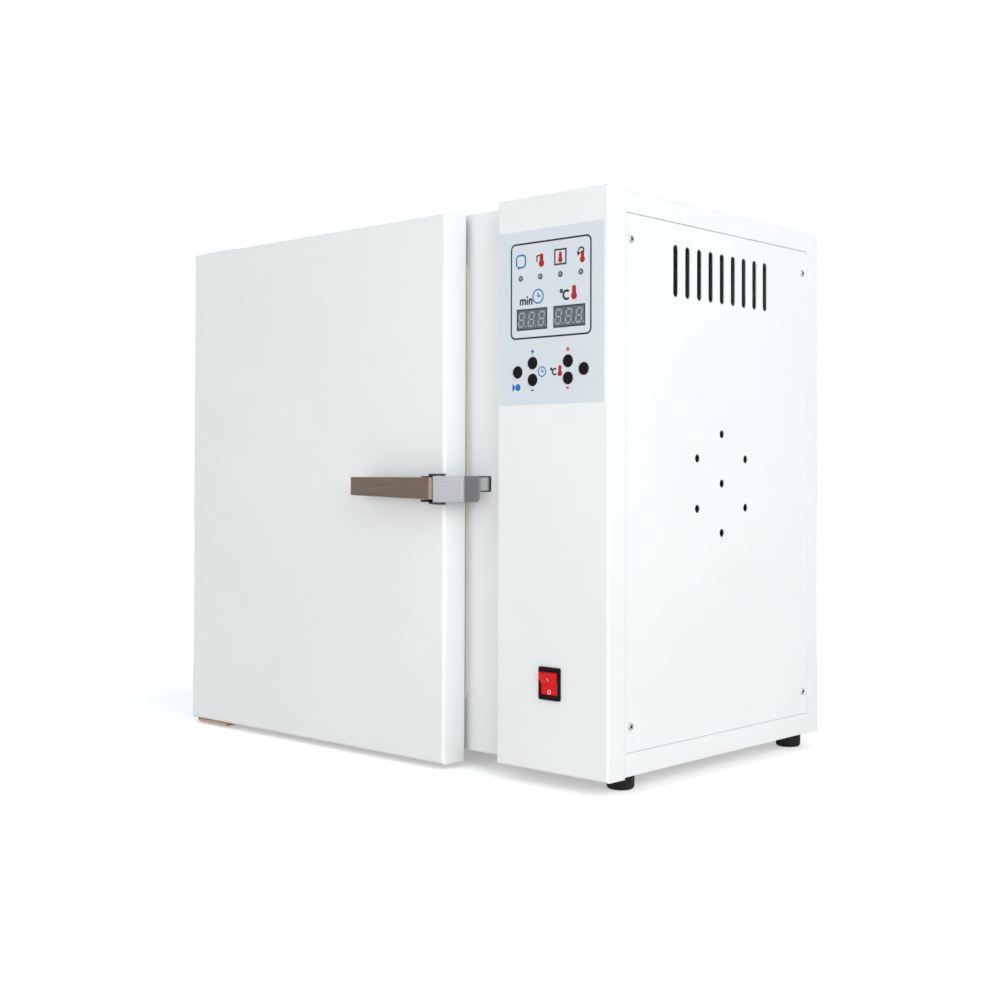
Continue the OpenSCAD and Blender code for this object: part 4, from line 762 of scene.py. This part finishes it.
# The ink's thickness in metres, the share of it that is sunk in the film, and the
# small steps by which neighbouring marks differ in height
INK_T = 0.05 * MM
INK_SUNK = 0.4
INK_LEVELS = 9
LEVEL_STEP = 0.05


def stroke(points, width, closed=False):
    """Outlines of a mitred line of that width through points; a closed line is in two halves."""
    if closed:
        half = len(points) // 2
        first, second = (
            tuple((a + b) / 2 for a, b in zip(points[i - 1], points[i])) for i in (0, half)
        )
        halves = [first, *points[:half], second], [second, *points[half:], first]
        return [outline for part in halves for outline in stroke(part, width)]
    left, right = [], []
    for i, p in enumerate(points):
        ways = [
            (Vector(b) - Vector(a)).normalized()
            for a, b in zip(points[max(i - 1, 0):i + 1], points[max(i, 1):i + 2])
        ]
        way = sum(ways, Vector((0, 0))).normalized()
        across = Vector((-way.y, way.x))
        stretch = 1.0 / max(0.5, across.dot(Vector((-ways[0].y, ways[0].x))))
        left.append(Vector(p) + across * width / 2 * stretch)
        right.append(Vector(p) - across * width / 2 * stretch)
    return [left + right[::-1]]


def arc(middle, radius, start, end, steps=20):
    turns = (math.radians(start + (end - start) * i / steps) for i in range(steps + 1))
    return [(middle[0] + radius * math.cos(a), middle[1] + radius * math.sin(a)) for a in turns]


def ring(middle, radius, width):
    return stroke(arc(middle, radius, 0, 360, 32)[:-1], width, closed=True)


def box(left, low, right, high):
    return [(left, low), (right, low), (right, high), (left, high)]


def rounded_box(left, low, right, high, radius):
    inner = box(left + radius, low + radius, right - radius, high - radius)
    corners = zip(inner[2:] + inner[:2], (0, 90, 180, 270))
    return [p for middle, start in corners for p in arc(middle, radius, start, start + 90, 6)]


def thermometer(middle, size):
    """A bulb with a stem above it, in one outline."""
    x, z = middle
    bulb, half, tip, top = size * 0.27, size * 0.18, size * 0.16, z + size * 0.5
    neck = math.degrees(math.asin(half / bulb))
    stem = arc((x + half - tip, top - tip), tip, 0, 90, 5)
    stem += arc((x - half + tip, top - tip), tip, 90, 180, 5)
    return [stem + arc((x, z - size * 0.25), bulb, 90 + neck, 450 - neck)]


def clock(middle, radius, width):
    x, z = middle
    hands = [(x, z + radius * 0.6), (x, z), (x + radius * 0.5, z)]
    return ring(middle, radius, width) + stroke(hands, width)


def plus(middle):
    return [[(middle[0] + u, middle[1] + v) for u, v in cross(PLUS_ARM, PLUS_LINE / 2)]]


def arrow_head(middle, size, angle):
    a = math.radians(angle)
    tip = Vector((math.cos(a), math.sin(a))) * size
    side = Vector((-math.sin(a), math.cos(a))) * size * 0.6
    at = Vector(middle)
    return [[at + tip, at + side, at - side]]


def degree_c(middle, size, width):
    """The unit's ring and letter."""
    x, z = middle
    degree = ring((x - size * 0.55, z + size * 0.42), size * 0.13, width * 0.8)
    return degree + stroke(arc((x + size * 0.12, z), size * 0.42, 48, 312, 18), width)


def letters_min(middle, high, width):
    """The unit of the timer, in plain upright strokes, from its left edge."""
    x, low = middle[0], middle[1] - high / 2
    half, gap = high * 0.27, high * 0.42

    def stem(at):
        return stroke([(at, low), (at, low + high * 0.9)], width)

    def arch(at):
        over = arc((at + half, low + high * 0.62), half, 180, 0, 8)
        return stroke([(at, low), *over, (at + half * 2, low)], width)

    dotted = x + half * 4 + gap
    dot = arc((dotted, low + high * 1.25), width * 0.62, 0, 360, 10)[:-1]
    return (
        arch(x) + arch(x + half * 2) + stem(x) + stem(dotted) + [dot]
        + stem(dotted + gap) + arch(dotted + gap)
    )


def print_marks(name, shapes, material, body, slot_name, corner, across, up, thick):
    """Prints shapes, in millimetres across and up from a corner, as a raised layer on a flat face.
    Neighbours differ a little in height, so that none of their faces coincide where they cross."""
    mesh = bmesh.new()
    corner, across, up = Vector(corner), Vector(across), Vector(up)
    inward = up.cross(across)
    for count, shape in enumerate(shapes):
        flat = [corner + (across * p[0] + up * p[1]) * MM for p in shape]
        step = LEVEL_STEP * (count % INK_LEVELS)
        near = [mesh.verts.new(p - inward * thick * (1 + step)) for p in flat]
        far = [mesh.verts.new(p + inward * thick * (INK_SUNK + step)) for p in flat]
        mesh.faces.new(near)
        mesh.faces.new(far[::-1])
        for i in range(len(flat)):
            mesh.faces.new((near[i], near[i - 1], far[i - 1], far[i]))
    bmesh.ops.recalc_face_normals(mesh, faces=mesh.faces)
    return as_piece(mesh, name, [material], body)


def ink(name, colour):
    """Screen ink: a slightly uneven film with a soft gloss."""
    material, tree, shader = new_material(name, Specular_IOR_Level=0.35)
    film = effect(tree, peel_group, Size=0.0004)["Height"]
    body = colour_mix(tree, spread(tree, film, 0.3, 0.7), colour, toned(colour, 0.85))
    feed(tree, shader, Base_Color=body, Roughness=spread(tree, film, 0.3, 0.7, 0.38, 0.5))
    return material


cover_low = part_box("control_cover")[0]
film_print = {
    "body": "cabinet", "slot_name": "overlay_film", "thick": INK_T,
    "corner": (cover_low.x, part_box("keypad_overlay")[0].y, cover_low.z),
    "across": (1, 0, 0), "up": (0, 0, 1),
}
dark_ink_and_painted_shadow = ink("dark_ink_and_painted_shadow", (0.018, 0.020, 0.030))
blue_ink = ink("blue_ink", (0.02, 0.16, 0.55))
red_ink = ink("red_ink", (0.46, 0.006, 0.012))

dark_marks = stroke(rounded_box(*FRAME_BOX), FRAME_LINE, closed=True)
dark_marks += stroke(box(*OVEN_BOX), OVEN_LINE, closed=True)
dark_marks += stroke(RISING_LINE, SIGN_LINE)
dark_marks += stroke(arc(*FALLING_ARC), SIGN_LINE) + arrow_head(*FALLING_HEAD)
dark_marks += degree_c(*DISPLAY_UNIT)
dark_marks += degree_c(*KEY_UNIT)
dark_marks += letters_min(*MINUTES)
for lamp in solid_middles("indicator_lamps", 1, 0):
    at = (lamp - cover_low) / MM
    dark_marks += ring((at.x, at.z), LAMP_RING_R, LAMP_RING_LINE)
print_marks("dark_print", dark_marks, dark_ink_and_painted_shadow, **film_print)

# The same dark ink makes a painted shadow rim on the faces of the two displays,
# # for the shade at the edges of the film's windows
rims = []
for name in ("time_display", "temperature_display"):
    low, high = ((p - cover_low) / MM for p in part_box(name))
    inset = (low.x + SHADOW_RIM_INSET, low.z + SHADOW_RIM_INSET, high.x - SHADOW_RIM_INSET, high.z - SHADOW_RIM_INSET)
    rims += stroke(box(*inset), SHADOW_RIM_LINE, closed=True)
face_print = {**film_print, "corner": (cover_low.x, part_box("time_display")[0].y, cover_low.z)}
print_marks("display_painted_shadow", rims, dark_ink_and_painted_shadow, **face_print)

blue_marks = stroke(CYCLE, CYCLE_LINE) + arrow_head(*CYCLE_HEAD)
blue_marks += clock(*DISPLAY_CLOCK)
blue_marks += clock(*KEY_CLOCK)
blue_marks += plus(TIME_PLUS)
blue_marks += stroke(TIME_MINUS, MINUS_LINE)
blue_marks += [arc(*START_DISC), START_WEDGE]
print_marks("blue_print", blue_marks, blue_ink, **film_print)

red_marks = []
for place, size in THERMOMETERS:
    red_marks += thermometer(place, size)
red_marks += plus(HEAT_PLUS)
red_marks += stroke(HEAT_MINUS, MINUS_LINE)
print_marks("red_print", red_marks, red_ink, **film_print)


# The power switch snaps in: a black nylon bezel with a glossy red rocker. The
# rocker is a drum about its axle with two finger faces, tipped here with its
# lower half pressed. The faces carry raised marks for on and off.

ROCKER_R = 11.0 * MM
ROCKER_TIP = math.radians(14)
VALLEY_OUT = 2.2 * MM
VALLEY_REACH = 3.5 * MM
VALLEY_FLAT = 0.25 * MM
VALLEY_DEEP = 0.42 * MM
SHOULDER = 1.5 * MM
BACK_ANGLE = math.radians(38)
END_ROUND = 0.8 * MM
AXLE_R = 1.5 * MM
AXLE_END = 1.2 * MM
MARK_T = 0.08 * MM
ON_MARK, ON_LINE = [(0, 3.4), (0, 6.8)], 0.8
OFF_MARK, OFF_R, OFF_LINE = (0, -7.2), 1.7, 0.7


def glossy_plastic(name, colour):
    """Coloured plastic with a polished skin, duller where fingers press it."""
    material, tree, shader = new_material(
        name, Specular_IOR_Level=0.16, Subsurface_Weight=0.12, Subsurface_Scale=0.002,
    )
    peel = effect(tree, peel_group, Size=0.0022)
    hands = effect(tree, marks_group, Patches=70.0, Amount=1.0)
    worn = effect(tree, wear_group, Width=0.0006, Amount=0.5)
    body = colour_mix(tree, worn["Mask"], colour, toned(colour, 1.2, lift=0.03))
    roughness = spread(tree, hands["Mask"], 0.0, 1.0, 0.16, 0.42)
    skin = bump(tree, peel["Height"], strength=0.06, depth=0.0001, over=worn["Normal"])
    feed(tree, shader, Base_Color=body, Roughness=roughness, Normal=skin)
    return material


def bend(start, corner, end, steps):
    """Points of a smooth bend that leaves start towards the corner and arrives at end."""
    return [
        start * (1 - t) ** 2 + corner * 2 * t * (1 - t) + end * t ** 2
        for t in (i / steps for i in range(steps + 1))
    ]


def on_drum(angle):
    return Vector((math.cos(angle), math.sin(angle))) * ROCKER_R


def rocker_profile():
    """The drum's outline across its axle, front to -X and top to +Y, before it is tipped."""
    slope = math.tan(ROCKER_TIP)
    reach = math.sqrt((1 + slope ** 2) * ROCKER_R ** 2 - VALLEY_OUT ** 2)
    top = (reach - VALLEY_OUT * slope) / (1 + slope ** 2)
    corner = Vector((-VALLEY_OUT - top * slope, top))
    down_face = Vector((math.sin(ROCKER_TIP), -math.cos(ROCKER_TIP)))
    shoulder = math.atan2(corner.y, corner.x) - SHOULDER / ROCKER_R
    upper = [on_drum(BACK_ANGLE + (shoulder - BACK_ANGLE) * i / 8) for i in range(8)]
    upper += bend(on_drum(shoulder), corner, corner + down_face * SHOULDER, 6)
    valley = Vector((-VALLEY_OUT, 0))
    flat = Vector((valley.x - VALLEY_FLAT, 0))
    upper += bend(valley - down_face * VALLEY_REACH, valley, flat, 4)[:-1]
    lower = [Vector((p.x, -p.y)) for p in reversed(upper)]
    return upper + [Vector((valley.x - VALLEY_DEEP, 0))] + lower


def rocker_body(half):
    """The drum between its two ends, with rounded rims, and the axle through it."""
    body = bmesh.new()
    left, right = (
        [body.verts.new((x, p.x, p.y)) for p in rocker_profile()] for x in (-half, half)
    )
    body.faces.new(left)
    body.faces.new(right[::-1])
    for i in range(len(left)):
        body.faces.new((left[i], left[i - 1], right[i - 1], right[i]))
    bmesh.ops.recalc_face_normals(body, faces=body.faces)
    bmesh.ops.bevel(
        body, geom=[e for e in body.edges if abs(e.verts[0].co.x - e.verts[1].co.x) < 1e-9],
        offset=END_ROUND, segments=4, profile=0.5, affect="EDGES", clamp_overlap=True,
    )
    tip = half + AXLE_END
    axle = lathe([(0, -tip), (AXLE_R, -tip), (AXLE_R, tip), (0, tip)], sides=24)
    axle.transform(Matrix.Rotation(math.pi / 2, 4, "Y"))
    add_to(body, axle)
    return body


pivot = Vector(next(j["pos_m"] for j in frame["joints"] if j["name"] == "power_rocker_tip"))
switch_low, switch_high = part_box("switch_rocker")
drum = rocker_body((switch_high.x - switch_low.x) / 2 - AXLE_END)
drum.transform(Matrix.Translation(pivot) @ Matrix.Rotation(ROCKER_TIP, 4, "X"))
rocker_red = glossy_plastic("rocker_red", (0.72, 0.005, 0.007))
rocker = as_piece(drum, "red_rocker", [rocker_red], "power_rocker", smooth_angle=40.0)
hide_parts("switch_rocker")
dress(black_nylon, "switch_bezel")

white_ink = ink("white_ink", (0.80, 0.79, 0.78))
rocker_print = {
    "body": "power_rocker", "slot_name": "red_plastic", "thick": MARK_T, "across": (1, 0, 0),
    "corner": pivot - Vector((0, math.cos(ROCKER_TIP), math.sin(ROCKER_TIP))) * VALLEY_OUT,
}
upper_face = (0, -math.sin(2 * ROCKER_TIP), math.cos(2 * ROCKER_TIP))
print_marks("rocker_on_mark", stroke(ON_MARK, ON_LINE), white_ink, up=upper_face, **rocker_print)
off_ring = ring(OFF_MARK, OFF_R, OFF_LINE)
print_marks("rocker_off_mark", off_ring, white_ink, up=(0, 0, 1), **rocker_print)


# The service panel is one flat sheet in the white coat, sunk in the right side and
# let through with nine slots and seven round holes for the fan motor's air. Four
# plated pan head screws hold it.

dress(white_coat, "side_panel")
cross_head_screws("side_panel_screw_heads", "side_panel_screws", 0, (1, 0, 0))


# The door turns on two plated pins: the lower one in a cranked steel plate under
# the case, with a warm yellow plating, and the upper one in a white plate that is
# screwed to the top.

yellow_zinc = plated_steel("yellow_zinc", (0.62, 0.43, 0.28), rough=0.32)
dress(yellow_zinc, "hinge_plate_lower")
dress(zinc, "hinge_pins", "hinge_screws")
dress(white_coat, "hinge_plate_upper")


# The door is a folded white tray with a stainless inner panel screwed to its lip.
# The panel's raised field meets the seal, and nylon bushes take the pins.

dress(white_coat, "door_shell")
dress(chamber_steel, "door_liner")
dress(natural_nylon, "door_bushes")
dress(zinc, "liner_screws")


# The latch's lever is a channel of brushed stainless sheet, with a painted
# # reflection that makes it brown and darker, clamped to a black hub that turns on a
# # pin in a bracket on the door's face. Its bright strap reaches round the door's
# # edge to a slot that a plated keeper backs.

# How far in front of the plate the painted highlight on the tongue starts and is full
HIGHLIGHT_START = 17.0 * MM
HIGHLIGHT_FULL = 11.0 * MM


def paint_tongue_highlight(material):
    """Paints a highlight on the strap's tongue, paler towards where it slides in the slot of the
    front plate.
    """
    tree = material.node_tree
    shader = tree.nodes["Principled BSDF"]
    plate_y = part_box("front_frame")[0].y
    depth = put(tree, "ShaderNodeSeparateXYZ", {0: own_place(tree)}).outputs["Y"]
    # The share of the painted highlight, from none to full towards the plate
    rubbed = spread(tree, depth, plate_y - HIGHLIGHT_START, plate_y - HIGHLIGHT_FULL)
    old_colour = shader.inputs["Base Color"].links[0].from_socket
    feed(tree, shader, Base_Color=colour_mix(tree, rubbed, old_colour, (0.62, 0.62, 0.63)))


dress(black_coat, "latch_bracket")
dress(zinc, "latch_pin", "latch_keeper")
dress(black_nylon, "latch_hub")
# The lever's brown, darker tone is a painted reflection on the same stainless as the strap
lever_steel = brushed_metal(
    "lever_steel", (0.195, 0.150, 0.118), stretch=(14.0, 900.0, 900.0), rough=0.34, streak=0.18,
)
dress(lever_steel, "lever_grip")
strap_steel = brushed_metal(
    "strap_steel", (0.30, 0.30, 0.312), stretch=(14.0, 14.0, 900.0), rough=0.34, streak=0.10,
)
paint_tongue_highlight(strap_steel)
dress(strap_steel, "latch_strap")


# The studio has a pale floor and an evenly white room. A large soft lamp stands to
# the right and weaker ones in front and behind, and the floor gives back a
# little warmth.

FLOOR_HALF = 6.0
FLOOR_DROP = 0.2 * MM
WHITE = (1.0, 1.0, 1.0, 1.0)


def seen_directly(tree, rays):
    """Whether a ray comes by a mirror or glass, and whether it comes so or from the camera."""
    mirrored = maths(tree, "MAXIMUM", rays["Is Glossy Ray"], rays["Is Transmission Ray"])
    return mirrored, maths(tree, "MAXIMUM", rays["Is Camera Ray"], mirrored)


def studio_floor():
    """Diffuse floor that the camera and reflections see as white, with the object's shadow kept."""
    material = bpy.data.materials.new("studio_floor")
    material.use_nodes = True
    tree = material.node_tree
    tree.nodes.clear()
    rays = put(tree, "ShaderNodeLightPath").outputs
    mirrored, direct = seen_directly(tree, rays)
    grain = noise(tree, own_place(tree), scale=30.0, detail=3.0, roughness=0.6)
    grain = spread(tree, grain, 0.3, 0.7)
    bounced = colour_mix(tree, grain, (0.88, 0.80, 0.71), (0.90, 0.82, 0.73))
    colour = colour_mix(tree, direct, bounced, (0.86, 0.86, 0.86))
    matt = put(tree, "ShaderNodeBsdfDiffuse", {"Color": colour}).outputs[0]
    away = put(tree, "ShaderNodeVectorMath", {0: own_place(tree)}, operation="LENGTH")
    missing = spread(tree, away.outputs["Value"], 0.5, 1.3, 0.36, 1.0)
    share = maths(tree, "ADD", rays["Is Camera Ray"], maths(tree, "MULTIPLY", mirrored, 0.3))
    lift = {"Color": WHITE, "Strength": maths(tree, "MULTIPLY", missing, share)}
    lift = put(tree, "ShaderNodeEmission", lift).outputs[0]
    both = put(tree, "ShaderNodeAddShader", {0: matt, 1: lift}).outputs[0]
    feed(tree, put(tree, "ShaderNodeOutputMaterial"), Surface=both)
    return material


def studio_room():
    """A room that the camera and reflections see as white and that gives softer, cooler light."""
    world = bpy.data.worlds.new("studio")
    world.use_nodes = True
    tree = world.node_tree
    tree.nodes.clear()
    direct = seen_directly(tree, put(tree, "ShaderNodeLightPath").outputs)[1]
    soft = {"Color": (0.855, 0.94, 1.0, 1.0), "Strength": 0.58}
    soft = put(tree, "ShaderNodeBackground", soft).outputs[0]
    white = put(tree, "ShaderNodeBackground", {"Color": WHITE, "Strength": 1.0}).outputs[0]
    both = put(tree, "ShaderNodeMixShader", {0: direct, 1: soft, 2: white}).outputs[0]
    feed(tree, put(tree, "ShaderNodeOutputWorld"), Surface=both)
    return world


def soft_lamp(name, place, target, size, power, colour):
    """A rectangular lamp at place, aimed at target."""
    data = bpy.data.lights.new(name, "AREA")
    data.shape = "RECTANGLE"
    data.size, data.size_y = size
    data.energy = power
    data.color = colour
    lamp = bpy.data.objects.new(name, data)
    lamp.location = place
    lamp.rotation_mode = "QUATERNION"
    lamp.rotation_quaternion = (Vector(target) - Vector(place)).to_track_quat("-Z", "Y")
    bpy.context.scene.collection.objects.link(lamp)


floor_mesh = bmesh.new()
bmesh.ops.create_grid(floor_mesh, x_segments=8, y_segments=8, size=FLOOR_HALF)
floor_data = bpy.data.meshes.new("floor")
floor_mesh.to_mesh(floor_data)
floor_mesh.free()
floor = bpy.data.objects.new("floor", floor_data)
floor.location.z = -FLOOR_DROP
floor_data.materials.append(studio_floor())
bpy.context.scene.collection.objects.link(floor)
bpy.context.scene.world = studio_room()

soft_lamp(
    "right_lamp", place=(2.4, -0.9, 1.3), target=(0.0, 0.0, 0.25),
    size=(1.8, 1.8), power=36.5, colour=(0.96, 0.985, 1.0),
)
soft_lamp(
    "front_lamp", place=(0.6, -2.0, 0.45), target=(0.0, 0.0, 0.15),
    size=(1.8, 0.7), power=9.4, colour=(1.0, 0.98, 0.955),
)
soft_lamp(
    "back_lamp", place=(-2.1, 1.7, 0.7), target=(0.0, 0.0, 0.25),
    size=(1.6, 1.0), power=20.0, colour=(1.0, 1.0, 1.0),
)
bpy.context.scene.view_settings.view_transform = "Standard"
